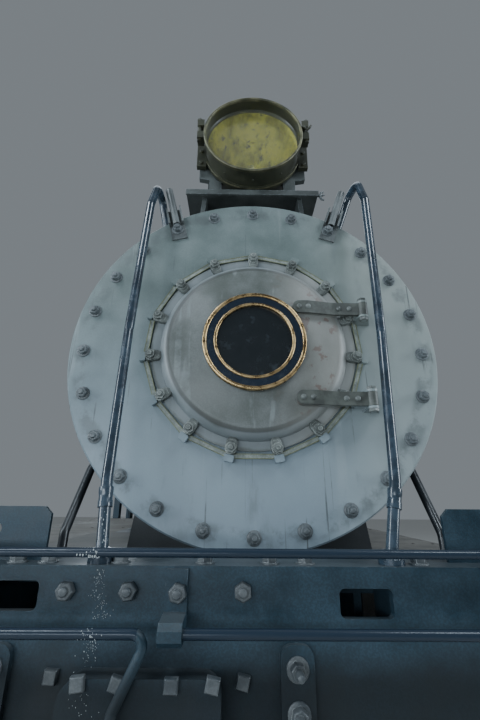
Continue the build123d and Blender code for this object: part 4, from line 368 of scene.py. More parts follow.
# a ring of a different old coat on the door, a dark ring of painted shade in the crease of the dish, the hinge's
# side painted paler as painted light, and rust showing on the hinge's side
doorLook = {
    "band": (0.33, 0.386, 0.006), "bandColour": (0.215, 0.245, 0.26), "bandAmount": 0.7,
    "shadeLine": (0.317, 0.332, 0.003), "shadeLineColour": (0.05, 0.053, 0.05), "shadeLineAmount": 0.7,
    "side": (0.02, 0.26), "paleColour": (0.3, 0.295, 0.27), "paleAmount": 0.5,
    "rustInside": (0.34, 0.3), "rustColour": (0.115, 0.045, 0.028), "rustAmount": 0.5, "wavy": 0.03,
}
# the hinge straps stand proud of the dished plate and wear a darker coat
strapLook = {"half": 0.0268, "inner": 0.413, "knuckle": 0.652, "slope": 0.14, "start": -5.1388,
             "dark": (0.05, 0.055, 0.05), "light": (0.085, 0.094, 0.084)}


def paintDoorWearAndLight(material):
    look = doorLook
    tree, shader, where = partsOf(material)
    x, y, z = splitPlace(tree, where)
    distance = ringDistance(tree, where, doorCentre)
    wavy = maths(tree, "ADD", distance, uneven(tree, noise(tree, where, 7), look["wavy"]))
    side = smoothStep(tree, x, *(boilerX + reach for reach in look["side"]))
    ragged = smoothStep(tree, noise(tree, where, 17, 7, 0.66), 0.56, 0.6)
    colour = layWearAndLight(tree, shader, look, {
        "band": [bandMask(tree, wavy, *look["band"])],
        # painted shade: a dark line in the crease where the dish meets its shoulder
        "shadeLine": [bandMask(tree, distance, *look["shadeLine"])],
        # painted light: the hinge's side of the door is painted paler
        "pale": [side],
        "rust": [side, ragged, smoothStep(tree, distance, *look["rustInside"])],
    })
    upper, lower = (maths(tree, "COMPARE", z, height, strapLook["half"]) for height in hingeHeights)
    knuckle = maths(tree, "GREATER_THAN", x, strapLook["knuckle"])
    strap = maths(tree, "MAXIMUM", maths(tree, "MAXIMUM", upper, lower), knuckle)
    line = maths(tree, "ADD", product(tree, x, strapLook["slope"]), strapLook["start"])
    beside = maths(tree, "GREATER_THAN", x, strapLook["inner"])
    cloud = smoothStep(tree, noise(tree, where, 22, 5, 0.62), 0.4, 0.62)
    coat = mixColour(tree, cloud, strapLook["dark"], strapLook["light"])
    colour = overlay(tree, colour, coat, strap, maths(tree, "LESS_THAN", y, line), beside)
    feed(tree, shader, {"Base Color": colour})


# painted shade darkens the beams towards their lower edge, which is also rougher, and hands keep the rail and
# the cut levers dark and shiny
beamLook = {
    "foot": (1.345, 1.23), "wavy": 0.12, "colour": (0.007, 0.009, 0.01), "amount": 0.8, "dull": 0.26,
    "railDepth": (5.315, 0.0118), "railHeight": (1.515, 0.0118), "leverHeight": (1.352, 0.0128),
    "leverDepth": 5.333, "leverEnds": (-0.012, 0.092, 1.155), "rubbed": (0.014, 0.024, 0.038),
    "rubbedRough": 0.22,
}


def paintBeamShadeAndRubbing(material):
    look = beamLook
    tree, shader, where = partsOf(material)
    x, y, z = splitPlace(tree, where)
    height = maths(tree, "ADD", z, uneven(tree, noise(tree, where, 6, 5), look["wavy"]))
    foot = smoothStep(tree, height, *look["foot"])
    # painted shade: the beam is painted darker towards its foot
    colour = overlay(tree, sourceOf(shader, "Base Color"), look["colour"], foot, look["amount"])
    rough = maths(tree, "ADD", sourceOf(shader, "Roughness"), product(tree, foot, look["dull"]), clamp=True)
    depth = maths(tree, "ABSOLUTE", y)
    along = product(tree, x, maths(tree, "SIGN", y))
    rail = product(tree, maths(tree, "COMPARE", depth, *look["railDepth"]),
                   maths(tree, "COMPARE", z, *look["railHeight"]))
    left, right, end = look["leverEnds"]
    sides = maths(tree, "MAXIMUM", maths(tree, "GREATER_THAN", along, -left),
                  maths(tree, "LESS_THAN", along, -right))
    inside = maths(tree, "LESS_THAN", maths(tree, "ABSOLUTE", along), end)
    lever = product(tree, maths(tree, "COMPARE", z, *look["leverHeight"]),
                    maths(tree, "GREATER_THAN", depth, look["leverDepth"]), sides, inside)
    shiny = maths(tree, "MAXIMUM", rail, lever)
    keep = product(tree, rough, maths(tree, "SUBTRACT", 1, shiny))
    feed(tree, shader, {"Base Color": mixColour(tree, shiny, colour, look["rubbed"]),
                        "Roughness": maths(tree, "ADD", keep, product(tree, shiny, look["rubbedRough"]))})


paintFrontWearAndLight(paints["frontPaint"])
paintBeamShadeAndRubbing(paints["beamPaint"])
paintDoorWearAndLight(paints["doorPaint"])

woodLook = {"dark": (0.06, 0.047, 0.035), "light": (0.19, 0.155, 0.12), "grooves": (0.04, 0.033, 0.027),
            "dust": 0.4, "dustColour": (0.22, 0.2, 0.17), "bump": (0.5, 0.004), "rough": 0.82}


def makeWood():
    look = woodLook
    material, tree, shader, where = newMaterial("deckWood")
    fibres = noise(tree, where, 6, 6, stretch=(9, 0.8, 9))
    fine = noise(tree, where, 40, 5, stretch=(6, 0.5, 6))
    colour = mixColour(tree, fibres, look["dark"], look["light"])
    colour = mixColour(tree, smoothStep(tree, fine, 0.45, 0.7), colour, look["grooves"])
    dust = addNode(tree, "Group", {"Vector": where, "Amount": look["dust"]}, node_tree=dustGroup).outputs["Mask"]
    height = maths(tree, "ADD", fibres, product(tree, fine, 0.5))
    feed(tree, shader, {"Base Color": mixColour(tree, dust, colour, look["dustColour"]),
                        "Normal": bumpFrom(tree, height, *look["bump"]), "Roughness": look["rough"]})
    return material


# round number plate: two brass rims, blank dark blue band between them, dark glossy field
plateLook = {
    "outerRim": (0.176, 0.24, 0.0006), "innerRim": (0.137, 0.148, 0.0006), "fieldEdge": (0.138, 0.144),
    "enamel": (0.006, 0.012, 0.022), "field": (0.006, 0.009, 0.011), "lightenedColour": (0.03, 0.04, 0.05),
    "brassDark": (0.3, 0.19, 0.085), "brassLight": (0.62, 0.43, 0.22), "rough": (0.16, 0.36),
    "bump": (0.15, 0.001),
}


def makeNumberPlate():
    look = plateLook
    material, tree, shader, where = newMaterial("plateBrass")
    distance = ringDistance(tree, where, plateCentre)
    tarnish = noise(tree, where, 26, 6)
    brass = mixColour(tree, smoothStep(tree, tarnish, 0.35, 0.65), look["brassDark"], look["brassLight"])
    metal = maths(tree, "MAXIMUM", bandMask(tree, distance, *look["outerRim"]),
                  bandMask(tree, distance, *look["innerRim"]))
    enamel = mixColour(tree, smoothStep(tree, distance, *look["fieldEdge"]), look["field"], look["enamel"])
    worn = mixColour(tree, smoothStep(tree, tarnish, 0.58, 0.75), enamel, look["lightenedColour"])
    feed(tree, shader, {"Base Color": mixColour(tree, metal, worn, brass), "Metallic": metal,
                        "Roughness": spread(tree, tarnish, *look["rough"]),
                        "Normal": bumpFrom(tree, noise(tree, where, 240, 3, 0.5), *look["bump"])})
    return material


# yellowed silver of the lamp's mirror, painted paler on its lower part as painted light
mirrorLook = {
    "dark": (0.25, 0.235, 0.012), "light": (0.74, 0.69, 0.09), "worn": (3.16, 3.02), "lightenedAmount": 0.7,
    "lightenedColour": (0.95, 0.92, 0.4), "spotColour": (0.11, 0.1, 0.035), "rough": (0.34, 0.6),
    "bump": (0.2, 0.002), "metal": 0.45,
}


def makeReflector():
    look = mirrorLook
    material, tree, shader, where = newMaterial("reflectorSilver")
    stain = noise(tree, where, 7, 7, 0.68)
    spots = noise(tree, where, 34, 6, 0.7)
    # painted light: the lower part of the mirror is painted paler, standing in for light reflected there
    worn = smoothStep(tree, splitPlace(tree, where)[2], *look["worn"])
    colour = mixColour(tree, smoothStep(tree, stain, 0.38, 0.62), look["dark"], look["light"])
    colour = overlay(tree, colour, look["lightenedColour"], worn, look["lightenedAmount"])
    colour = mixColour(tree, smoothStep(tree, spots, 0.54, 0.68), colour, look["spotColour"])
    feed(tree, shader, {"Base Color": colour, "Roughness": spread(tree, spots, *look["rough"]),
                        "Normal": bumpFrom(tree, stain, *look["bump"]), "Metallic": look["metal"]})
    return material


glassTints = {"lampGlass": (0.95, 0.95, 0.8), "cabGlass": (0.8, 0.86, 0.84), "bulbGlass": (0.95, 0.96, 0.9)}


def makeGlass(name):
    material, tree, shader, where = newMaterial(name)
    film = smoothStep(tree, noise(tree, where, 5, 5), 0.45, 0.75)
    feed(tree, shader, {"Base Color": glassTints[name], "Roughness": spread(tree, film, 0.03, 0.22),
                        "Transmission Weight": 0.95, "IOR": 1.45, "Metallic": 0})
    return material


paints.update(deckWood=makeWood(), plateBrass=makeNumberPlate(), reflector=makeReflector())
paints.update((name, makeGlass(name)) for name in glassTints)
print("stage: materials made")

# a name that ends in _ stands for every node that begins with it
nodeFinish = {
    "frontPaint": "smokebox_front",
    "shellPaint": "smokebox saddle stack stack_base ash_pan",
    "shelfPaint": "headlight_bracket",
    "socketPaint": "flag_sockets",
    "braceBlack": "smokebox_braces",
    "doorPaint": "smokebox_door",
    "clampIron": "door_clamps",
    "plateBrass": "number_plate",
    "lampPaint": "headlight rear_headlight",
    "lampGlass": "headlight_glass",
    "cabGlass": "cab_windows",
    "railBlack": "front_handrails boiler_handrails",
    "beamPaint": "front_beam rear_beam main_frame engine_frame",
    "jacketPaint": "boiler steam_dome sand_dome cylinders steam_pipes",
    "castBlack": "air_compressor air_tanks backhead bell_stand tank_lid_hinge",
    "plainBrass": "bell boiler_fittings",
    "brightSteel": "running_rods crankshaft",
    "cabPaint": "cab_walls tank tank_lid",
    "roofPaint": "cab_roof",
    "deckWood": "cab_floor",
    "deckSteel": "running_boards cab_steps",
    "wheelIron": "wheelset_ pinion_shaft_ sleeve_ slip_shaft_",
    "couplerIron": "front_coupler rear_coupler front_knuckle rear_knuckle",
    "truckIron": "front_truck rear_truck",
}
for name, node in nodes.items():
    chosen = [finish for finish, starts in nodeFinish.items() for start in starts.split()
              if name == start or (start.endswith("_") and name.startswith(start))]
    if not chosen:
        print("no finish chosen for", name)
    material = paints[chosen[0] if chosen else "castBlack"]
    slotCount = len(node.data.materials)
    for index in range(slotCount):
        node.data.materials[index] = material
    if slotCount == 0:
        node.data.materials.append(material)
print("stage: finishes assigned")


# evenly spaced angles round a circle
def turns(count, shift=0):
    return [2 * pi * (k + shift) / count for k in range(count)]


# outwards at an angle, in the upright plane across the machine
def facing(angle):
    return Vector((cos(angle), 0, sin(angle)))


# outwards at an angle, seen from above
def level(angle):
    return Vector((cos(angle), sin(angle), 0))


def turnTo(axis, spin=0):
    turned = Vector(axis).normalized().to_track_quat("Z", "Y").to_matrix().to_4x4()
    return turned @ Matrix.Rotation(spin, 4, "Z")


def addRing(bm, matrix, radius, along, count, shift=0):
    return [bm.verts.new(matrix @ Vector((radius * cos(a), radius * sin(a), along)))
            for a in turns(count, shift)]


def joinLoops(bm, low, high):
    for i in range(len(low)):
        j = (i + 1) % len(low)
        bm.faces.new((low[i], low[j], high[j], high[i]))


def skinLoops(bm, loops):
    for low, high in zip(loops, loops[1:]):
        joinLoops(bm, low, high)


def closeEnds(bm, first, last):
    bm.faces.new(first)
    bm.faces.new(list(reversed(last)))


# profile is a list of (radius, distance along the axis); a radius of 0 is a point on the axis
def addLathe(bm, place, axis, profile, steps=32):
    matrix = Matrix.Translation(place) @ turnTo(axis)
    rings = [addRing(bm, matrix, radius, along, steps if radius > 1e-6 else 1) for radius, along in profile]
    for low, high in zip(rings, rings[1:]):
        if len(low) == len(high):
            joinLoops(bm, low, high)
            continue
        for i in range(steps):
            j = (i + 1) % steps
            bm.faces.new((low[0], high[j], high[i]) if len(low) == 1 else (low[i], low[j], high[0]))


# a many-sided head with a chamfered top; flats is the distance across flats
def addHead(bm, place, axis, flats, height, sides=6, spin=0, chamfer=0.12):
    reach = flats / 2 / cos(pi / sides)
    matrix = Matrix.Translation(place) @ turnTo(axis, spin)
    levels = [(reach, 0), (reach, height * (1 - chamfer * 1.6)), (reach * (1 - chamfer), height)]
    rings = [addRing(bm, matrix, radius, along, sides, 0.5) for radius, along in levels]
    skinLoops(bm, rings)
    bm.faces.new(rings[-1])


boltShape = {"sunk": 0.0006, "washerHeight": 0.004, "studShare": 0.29}


# washer, head or nut, and the rounded end of the stud through it; turned at random unless spin is given
def addBolt(bm, place, axis, flats, height, washer=0, stud=0, spin=None):
    if spin is None:
        spin = random.uniform(0, 1)
    axis, place = Vector(axis).normalized(), Vector(place)
    if washer > 0:
        top = boltShape["washerHeight"]
        addLathe(bm, place, axis, [(washer, -boltShape["sunk"]), (washer, top * 0.7), (washer * 0.93, top),
                                   (flats * 0.3, top)], 24)
        place = place + axis * top
    addHead(bm, place - axis * boltShape["sunk"], axis, flats, height, 6, spin)
    if stud > 0:
        r = flats * boltShape["studShare"]
        addLathe(bm, place + axis * (height * 0.98), axis,
                 [(r, 0), (r, stud * 0.6), (r * 0.8, stud * 0.9), (0, stud)], 14)


def addDome(bm, place, axis, radius, height, steps=12, levels=4):
    quarter = [pi / 2 * k / levels for k in range(1, levels)]
    addLathe(bm, place, axis, [(radius, -0.0005), *((radius * cos(a), height * sin(a)) for a in quarter),
                               (0, height)], steps)


# outline points in the plane of y and z, extruded along x
def addSlab(bm, outline, origin, thickness):
    front = [bm.verts.new(Vector(origin) + Vector((0, a, b))) for a, b in outline]
    back = [bm.verts.new(v.co + Vector((thickness, 0, 0))) for v in front]
    closeEnds(bm, front, back)
    joinLoops(bm, back, front)


# two opposite corners, in any order
def addBlock(bm, one, two):
    middle, size = (Vector(one) + Vector(two)) / 2, Vector(two) - Vector(one)
    for vert in bmesh.ops.create_cube(bm, size=1)["verts"]:
        vert.co = middle + Vector([part * abs(reach) for part, reach in zip(vert.co, size)])


# points rounded at each corner by an arc of the given radius
def roundedPath(points, radius, steps=6):
    points = [Vector(p) for p in points]
    path = [points[0]]
    for before, corner, after in zip(points, points[1:], points[2:]):
        first, second = (before - corner), (after - corner)
        a, b = first.normalized(), second.normalized()
        angle = a.angle(b)
        if angle > radians(176):
            path.append(corner)
            continue
        reach = min(radius / tan(angle / 2), first.length * 0.48, second.length * 0.48)
        arcRadius = reach * tan(angle / 2)
        centre = corner + (a + b).normalized() * (arcRadius / sin(angle / 2))
        start, finish = corner + a * reach, corner + b * reach
        for k in range(steps + 1):
            v = (start - centre).normalized().slerp((finish - centre).normalized(), k / steps)
            path.append(centre + v * arcRadius)
    path.append(points[-1])
    return path


# radius is one number, or one for each point
def addTube(bm, points, radius, sides=14):
    points = [Vector(p) for p in points]
    tangents = [(after - before).normalized()
                for before, after in zip(points[:1] + points[:-1], points[1:] + points[-1:])]
    reference = upward if abs(tangents[0].z) < 0.9 else Vector((1, 0, 0))
    normal = tangents[0].cross(reference).normalized()
    rings = []
    for i, p in enumerate(points):
        if i:
            normal = (tangents[i - 1].rotation_difference(tangents[i]) @ normal).normalized()
        side = tangents[i].cross(normal).normalized()
        r = radius[i] if isinstance(radius, (list, tuple)) else radius
        rings.append([bm.verts.new(p + (normal * cos(a) + side * sin(a)) * r) for a in turns(sides)])
    skinLoops(bm, rings)
    closeEnds(bm, rings[-1], rings[0])


def addPipe(bm, points, bend, radius, sides=12):
    addTube(bm, roundedPath(points, bend), radius, sides)


def rivetRow(bm, start, end, spacing, axis, radius):
    start, end = Vector(start), Vector(end)
    count = max(1, round((end - start).length / spacing))
    for i in range(count + 1):
        addDome(bm, start.lerp(end, i / count), axis, radius, 0.006, 8, 3)


# ring with a rounded face, for beads, bands and rims
def addBead(bm, place, axis, inner, outer, height, steps=64, sink=0):
    middle, half = (inner + outer) / 2, (outer - inner) / 2
    arc = [pi * k / 6 for k in range(7)]
    addLathe(bm, place, axis, [(inner, -sink), *((middle - half * cos(a), height * sin(a)) for a in arc),
                               (outer, -sink)], steps)


surfaceTrees = {}


# where a ray meets one of the frame's nodes
def onSurface(node, origin, direction):
    if node not in surfaceTrees:
        mesh = nodes[node].data
        surfaceTrees[node] = BVHTree.FromPolygons([v.co for v in mesh.vertices],
                                                  [tuple(p.vertices) for p in mesh.polygons])
    return surfaceTrees[node].ray_cast(Vector(origin), Vector(direction).normalized())[0]


# a bolt, rivet or boss where a ray against outward meets a node, and none where it misses
def seat(bm, node, origin, outward, add, *shape, axis=None):
    hit = onSurface(node, origin, -Vector(outward))
    if hit:
        add(bm, hit, axis or outward, *shape)
    return hit


def finishPiece(bm, name, paint, body="frame", bevel=0, smooth=35):
    bmesh.ops.recalc_face_normals(bm, faces=bm.faces[:])
    mesh = bpy.data.meshes.new(name)
    bm.to_mesh(mesh)
    bm.free()
    piece = bpy.data.objects.new(name, mesh)
    bpy.context.scene.collection.objects.link(piece)
    mesh.materials.append(paints[paint])
    if bevel > 0:
        edge = piece.modifiers.new("roundedEdges", "BEVEL")
        edge.width = bevel
        edge.segments = 2
        edge.limit_method = "ANGLE"
        edge.angle_limit = radians(35)
        edge.harden_normals = False
    bpy.context.view_layer.objects.active = piece
    for polygon in mesh.polygons:
        polygon.use_smooth = True
    mesh.set_sharp_from_angle(angle=radians(smooth))
    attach(piece, body)


# bolts are given as flats, height, washer radius and stud height, domes as radius, height and sides
rimBolts = {"count": 24, "circle": 0.655, "bolt": (0.034, 0.018, 0.0255, 0.009), "bracketAt": (60, 120),
            "bracketLift": 0.008}


def makeRimBolts():
    bm = bmesh.new()
    for i in range(rimBolts["count"]):
        degrees = round(90 + 360 * i / rimBolts["count"]) % 360
        lift = rimBolts["bracketLift"] if degrees in rimBolts["bracketAt"] else 0
        place = frontCentre + facing(radians(degrees)) * rimBolts["circle"] + forward * lift
        addBolt(bm, place, forward, *rimBolts["bolt"])
    finishPiece(bm, "front_rim_bolts", "boltPaint", bevel=0.0012)


doorRing = {
    "count": 15, "studCircle": 0.39, "nutTop": 0.052, "washerAt": 0.034,
    "stud": [(0.0098, -0.002), (0.0098, 0.006), (0.0078, 0.009), (0, 0.009)],
    "washer": [(0.0205, 0), (0.0205, 0.003), (0.0165, 0.0036)],
    "edgeLift": 0.01, "face": (0.3986, 0.4154), "edges": ((0.3984, 0.4008), (0.4136, 0.416)),
}


# a point beside the door's centre line through one of its clamps
def doorPoint(step, radius, lift, along=0):
    a = radians(360 * step / doorRing["count"])
    outward, across = Vector((sin(a), 0, cos(a))), Vector((cos(a), 0, -sin(a)))
    return doorCentre + outward * radius + across * along + forward * lift


def makeDoorStuds():
    bm = bmesh.new()
    for step in range(doorRing["count"]):
        for part, lift, sides in (("stud", "nutTop", 16), ("washer", "washerAt", 24)):
            place = doorPoint(step, doorRing["studCircle"], doorRing[lift])
            addLathe(bm, place, forward, doorRing[part], sides)
    finishPiece(bm, "door_studs", "clampIron", "door")


# pointed toes of the clamps, reaching in over the door's flange; rows of radius, half width and top
clampToes = {
    "base": 0.0138, "chamfer": 0.003,
    "rows": ((0.4055, 0.0155, 0.0356), (0.4005, 0.0196, 0.0356), (0.374, 0.0204, 0.0356),
             (0.362, 0.018, 0.0335), (0.3525, 0.0132, 0.03), (0.3455, 0.007, 0.0262),
             (0.342, 0.002, 0.024)),
}


def makeClampToes():
    bm = bmesh.new()
    base = clampToes["base"]
    for step in range(doorRing["count"]):
        loops = []
        for radius, half, top in clampToes["rows"]:
            cut = min(clampToes["chamfer"], half * 0.6)
            outline = ((-half, base), (-half, top - cut), (cut - half, top), (half - cut, top),
                       (half, top - cut), (half, base))
            loops.append([bm.verts.new(doorPoint(step, radius, lift, along)) for along, lift in outline])
        skinLoops(bm, loops)
        closeEnds(bm, loops[0], loops[-1])
    finishPiece(bm, "clamp_toes", "clampIron", "door", 0.0008)


# one side of the many-sided bar round the door
def addBarStrip(bm, step, inner, outer, lift, share):
    slant = tan(pi / doorRing["count"]) * share
    one, two = ([bm.verts.new(doorPoint(step + 0.5, radius, doorRing["edgeLift"] + rise, way * radius * slant))
                 for radius, rise in ((inner, -0.0006), (inner, lift), (outer, lift), (outer, -0.0006))]
                for way in (-1, 1))
    joinLoops(bm, one, two)
    closeEnds(bm, one, two)


# pale worn paint on the bar's face and old green along its edges
def makeRingEdges():
    bm = bmesh.new()
    for step in range(doorRing["count"]):
        addBarStrip(bm, step, *doorRing["face"], 0.0006, 0.985)
    finishPiece(bm, "ring_bar_faces", "ringPaint")
    bm = bmesh.new()
    for step in range(doorRing["count"]):
        for edge in doorRing["edges"]:
            addBarStrip(bm, step, *edge, 0.0013, random.uniform(0.8, 0.97))
    finishPiece(bm, "ring_bar_edges", "oldGreen")


hinges = {"pin": (0.688, -5.06), "half": 0.0344, "nut": (0.032, 0.012, 6),
          "rivets": (0.44, 0.474, 0.594, 0.634), "rivet": (0.0105, 0.007, 16)}


def makeHingeNuts():
    bm = bmesh.new()
    for height in hingeHeights:
        for way in (-1, 1):
            place = Vector((*hinges["pin"], height + way * hinges["half"]))
            addHead(bm, place, (0, 0, way), *hinges["nut"], random.uniform(0, 1))
    finishPiece(bm, "hinge_nuts", "clampIron", bevel=0.001)


def makeStrapRivets():
    bm = bmesh.new()
    for height in hingeHeights:
        for x in hinges["rivets"]:
            seat(bm, "smokebox_door", (x, -5.3, height), forward, addDome, *hinges["rivet"])
    finishPiece(bm, "strap_rivets", "clampIron", "door")


plateRims = {"face": 0.111, "rims": ((0.1745, 0.1895), (0.1365, 0.1485)), "height": 0.0045, "sink": 0.012}


def makePlateRims():
    bm = bmesh.new()
    for rim in plateRims["rims"]:
        addBead(bm, plateCentre + forward * plateRims["face"], forward, *rim, plateRims["height"], 96,
                plateRims["sink"])
    finishPiece(bm, "number_plate_rims", "rimBrass", "door", smooth=60)


# depths are measured back from the plane of the lamp's rim
headlamp = {
    "centre": Vector((boilerX, -5.09, 3.209)), "mouth": 0.0665, "bowlDepth": 0.236, "bowlRadius": 0.2085,
    "bowlHole": 0.022, "socket": ((0.017, 0.3), (0.017, 0.25), (0.013, 0.243)), "bulbDepth": 0.205,
    "bulb": 0.022, "bead": (0.2155, 0.2262, 0.0035), "bands": ((0.2262, 0, 0.007), (0.2282, 0.098, 0.106)),
    "screws": 10, "screwCircle": 0.2185, "screwDepth": 0.06,
}


def addLampPart(bm, points, steps):
    addLathe(bm, headlamp["centre"], forward, [(radius, -depth) for radius, depth in points], steps)


def makeReflectorBowl():
    bm = bmesh.new()
    hole, edge = headlamp["bowlHole"], headlamp["bowlRadius"]
    radii = [hole + (edge - hole) * k / 24 for k in range(25)]
    points = [(r, headlamp["mouth"] + headlamp["bowlDepth"] * (1 - (r / edge) ** 2)) for r in radii]
    addLampPart(bm, points + [(edge + 0.002, headlamp["mouth"] - 0.001)], 96)
    finishPiece(bm, "lamp_reflector", "reflector", smooth=60)


def makeLampBulb():
    bm = bmesh.new()
    depth, radius = headlamp["bulbDepth"], headlamp["bulb"]
    arc = [pi * (0.18 + 0.82 * k / 8) for k in range(8)]
    addLampPart(bm, [*headlamp["socket"], *((radius * sin(a), depth + radius * cos(a)) for a in arc),
                     (0, depth - radius)], 24)
    finishPiece(bm, "lamp_bulb", "bulbGlass", smooth=60)


def makeLampRims():
    bm = bmesh.new()
    addBead(bm, headlamp["centre"], forward, *headlamp["bead"], 96, 0.01)
    for radius, low, high in headlamp["bands"]:
        addLampPart(bm, [(radius - 0.003, high), (radius, high - 0.001), (radius, low + 0.001),
                         (radius - 0.003, low)], 96)
    finishPiece(bm, "lamp_rims", "lampBrass", smooth=50)


# hinge blocks on both sides of the lamp's rim, with a wing screw on the right
def makeLampLatches():
    bm = bmesh.new()
    x, y, z = headlamp["centre"]
    for side in (-1, 1):
        for low, high in ((-0.026, 0.012), (0.048, 0.085)):
            addBlock(bm, (x + side * 0.224, y + 0.004, z + low), (x + side * 0.256, y + 0.052, z + high))
        post = Vector((x + side * 0.247, y + 0.02, z - 0.034))
        addLathe(bm, post, upward, [(0, 0), (0.0095, 0), (0.0095, 0.124), (0, 0.124)], 14)
        addHead(bm, (post.x, post.y, z + 0.088), upward, 0.024, 0.012)
        addBlock(bm, (x + side * 0.218, y + 0.096, z - 0.1), (x + side * 0.262, y + 0.12, z + 0.03))
        for dz in (-0.08, -0.01):
            addBolt(bm, (x + side * 0.241, y + 0.096, z + dz), forward, 0.018, 0.008, spin=0)
    for wing in (-1, 1):
        addTube(bm, [(x + 0.247, y + 0.006, z + 0.03), (x + 0.247 + wing * 0.012, y - 0.004, z + 0.034),
                     (x + 0.247 + wing * 0.019, y - 0.006, z + 0.046)], [0.006, 0.006, 0.004], 8)
    for i in range(headlamp["screws"]):
        outward = facing(radians(18 + 360 / headlamp["screws"] * i))
        place = headlamp["centre"] + outward * headlamp["screwCircle"] - forward * headlamp["screwDepth"]
        addDome(bm, place, outward, 0.006, 0.003, 10)
    finishPiece(bm, "lamp_latches", "lampPaint", bevel=0.0015)


shelf = {"edge": 0.575, "bolts": (0.12, 0.42), "boltRows": (-4.93, -4.8), "bolt": (0.022, 0.01, 0.016)}


def makeShelfFittings():
    bm = bmesh.new()
    edge = shelf["edge"]
    addTube(bm, [(edge - 0.012, -4.972, 2.97), (edge + 0.01, -4.97, 2.964), (edge + 0.03, -4.968, 2.972)],
            [0.009, 0.007, 0.004], 10)
    for wing in (-1, 1):
        addTube(bm, [(edge + 0.006, -4.972, 2.962), (edge + 0.014, -4.972, 2.962 + wing * 0.018),
                     (edge + 0.026, -4.972, 2.962 + wing * 0.024)], [0.006, 0.006, 0.004], 8)
    for x in shelf["bolts"]:
        for y in shelf["boltRows"]:
            seat(bm, "headlight_bracket", (x, y, 2.99), upward, addBolt, *shelf["bolt"])
    finishPiece(bm, "shelf_fittings", "boltPaint", bevel=0.001)


railPosts = {
    "knees": (-0.441, 0.409), "kneeAt": (-0.2, -0.48), "feet": (-0.42, 0.358), "footY": -5.225,
    "footHeight": 1.48, "hole": 0.015, "sleeve": 0.0205, "sleeveLength": 0.056, "sleeveDrop": 0.024,
    "flange": [(0.027, -0.002), (0.027, 0.016), (0.0225, 0.022), (0.015, 0.022)], "bolt": (0.011, 0.007),
}


def makeRailSleeves():
    bm = bmesh.new()
    radius, length, hole = railPosts["sleeve"], railPosts["sleeveLength"], railPosts["hole"]
    profile = [(hole, 0), (radius, 0), (radius, length * 0.3), (radius * 0.94, length * 0.36),
               (radius * 0.94, length * 0.64), (radius, length * 0.7), (radius, length), (hole, length)]
    for kneeX, footX in zip(railPosts["knees"], railPosts["feet"]):
        knee = frontCentre + Vector((kneeX, *railPosts["kneeAt"]))
        below = Vector((frontCentre.x + footX, railPosts["footY"], railPosts["footHeight"]))
        run = (below - knee).normalized()
        addLathe(bm, knee + run * railPosts["sleeveDrop"], run, profile, 24)
        foot = below + upward * 0.014
        addLathe(bm, foot, upward, railPosts["flange"], 24)
        for k in range(3):
            place = foot + level(radians(30 + 120 * k)) * 0.03 - upward * 0.0005
            addBolt(bm, place, upward, *railPosts["bolt"])
    finishPiece(bm, "rail_sleeves", "railBlack", bevel=0.0008)


beamBolts = {
    "face": 5.27, "hexHeight": 1.424, "hexAt": (-0.213, -0.0574, 0.228, -0.86, -1.12, 0.86, 1.12),
    "hex": (0.04, 0.021, 0, 0.009), "bracketAt": (0.0674, 0.012, 1.423), "bracketHex": (0.04, 0.024, 0, 0.01),
    "squareAt": ((-0.219, 1.249, 0), (-0.135, 1.259, 0.062), (-0.049, 1.258, 0.062), (0.07, 1.256, 0.062),
                 (0.161, 1.257, 0.062), (0.229, 1.24, 0), (-0.135, 0.85, 0.062), (0.161, 0.85, 0.062)),
    "square": (0.031, 0.015, 4), "strapAt": (-0.357, 0.357), "strapHeights": (1.268, 1.183),
    "strapLift": 0.016, "strapBolt": (0.034, 0.02, 0.027, 0.034),
    "topAt": (-0.37, -0.289, -0.097, 0.128, 0.3, 0.395, -0.7, 0.7, -1, 1), "topY": 5.226,
    "topHeight": 1.48, "topBolt": (0.036, 0.022, 0.026, 0.006),
}


# the rear beam is the front one turned about the upright axis, so its x is mirrored
def makeBeamBolts(end, way):
    bm = bmesh.new()
    axis = Vector((0, way, 0))
    look, face = beamBolts, way * beamBolts["face"]
    for x in look["hexAt"]:
        addBolt(bm, (-way * x, face, look["hexHeight"]), axis, *look["hex"])
    x, lift, z = look["bracketAt"]
    addBolt(bm, (-way * x, face + way * lift, z), axis, *look["bracketHex"])
    for x, z, lift in look["squareAt"]:
        addHead(bm, (-way * x, face + way * (lift - 0.0006), z), axis, *look["square"],
                random.uniform(-0.3, 0.3), 0.16)
    for x in look["strapAt"]:
        for z in look["strapHeights"]:
            addBolt(bm, (-way * x, face + way * look["strapLift"], z), axis, *look["strapBolt"])
    for x in look["topAt"]:
        addBolt(bm, (-way * x, way * look["topY"], look["topHeight"]), upward, *look["topBolt"])
    finishPiece(bm, end + "_beam_bolts", "beamBoltPaint", bevel=0.0016)


# white paint that ran down the left post and dripped onto the beam and its rails
drips = {"on": ("front_beam", "front_handrails"), "low": 1.12, "mostly": 1.3, "high": 1.47, "middle": -0.128,
         "specks": 260, "post": 70, "postFoot": 1.5}


def addSpeck(bm, x, z, size, stretch):
    hits = [onSurface(node, (x, -5.8, z), -forward) for node in drips["on"]]
    if not any(hits):
        return
    y = min(hit.y for hit in hits if hit) - 0.0003
    rim = [bm.verts.new((x + size * cos(a), y, z + size * stretch * sin(a))) for a in turns(6)]
    top = bm.verts.new((x, y - 0.0006, z))
    for i in range(6):
        bm.faces.new((rim[i], rim[(i + 1) % 6], top))


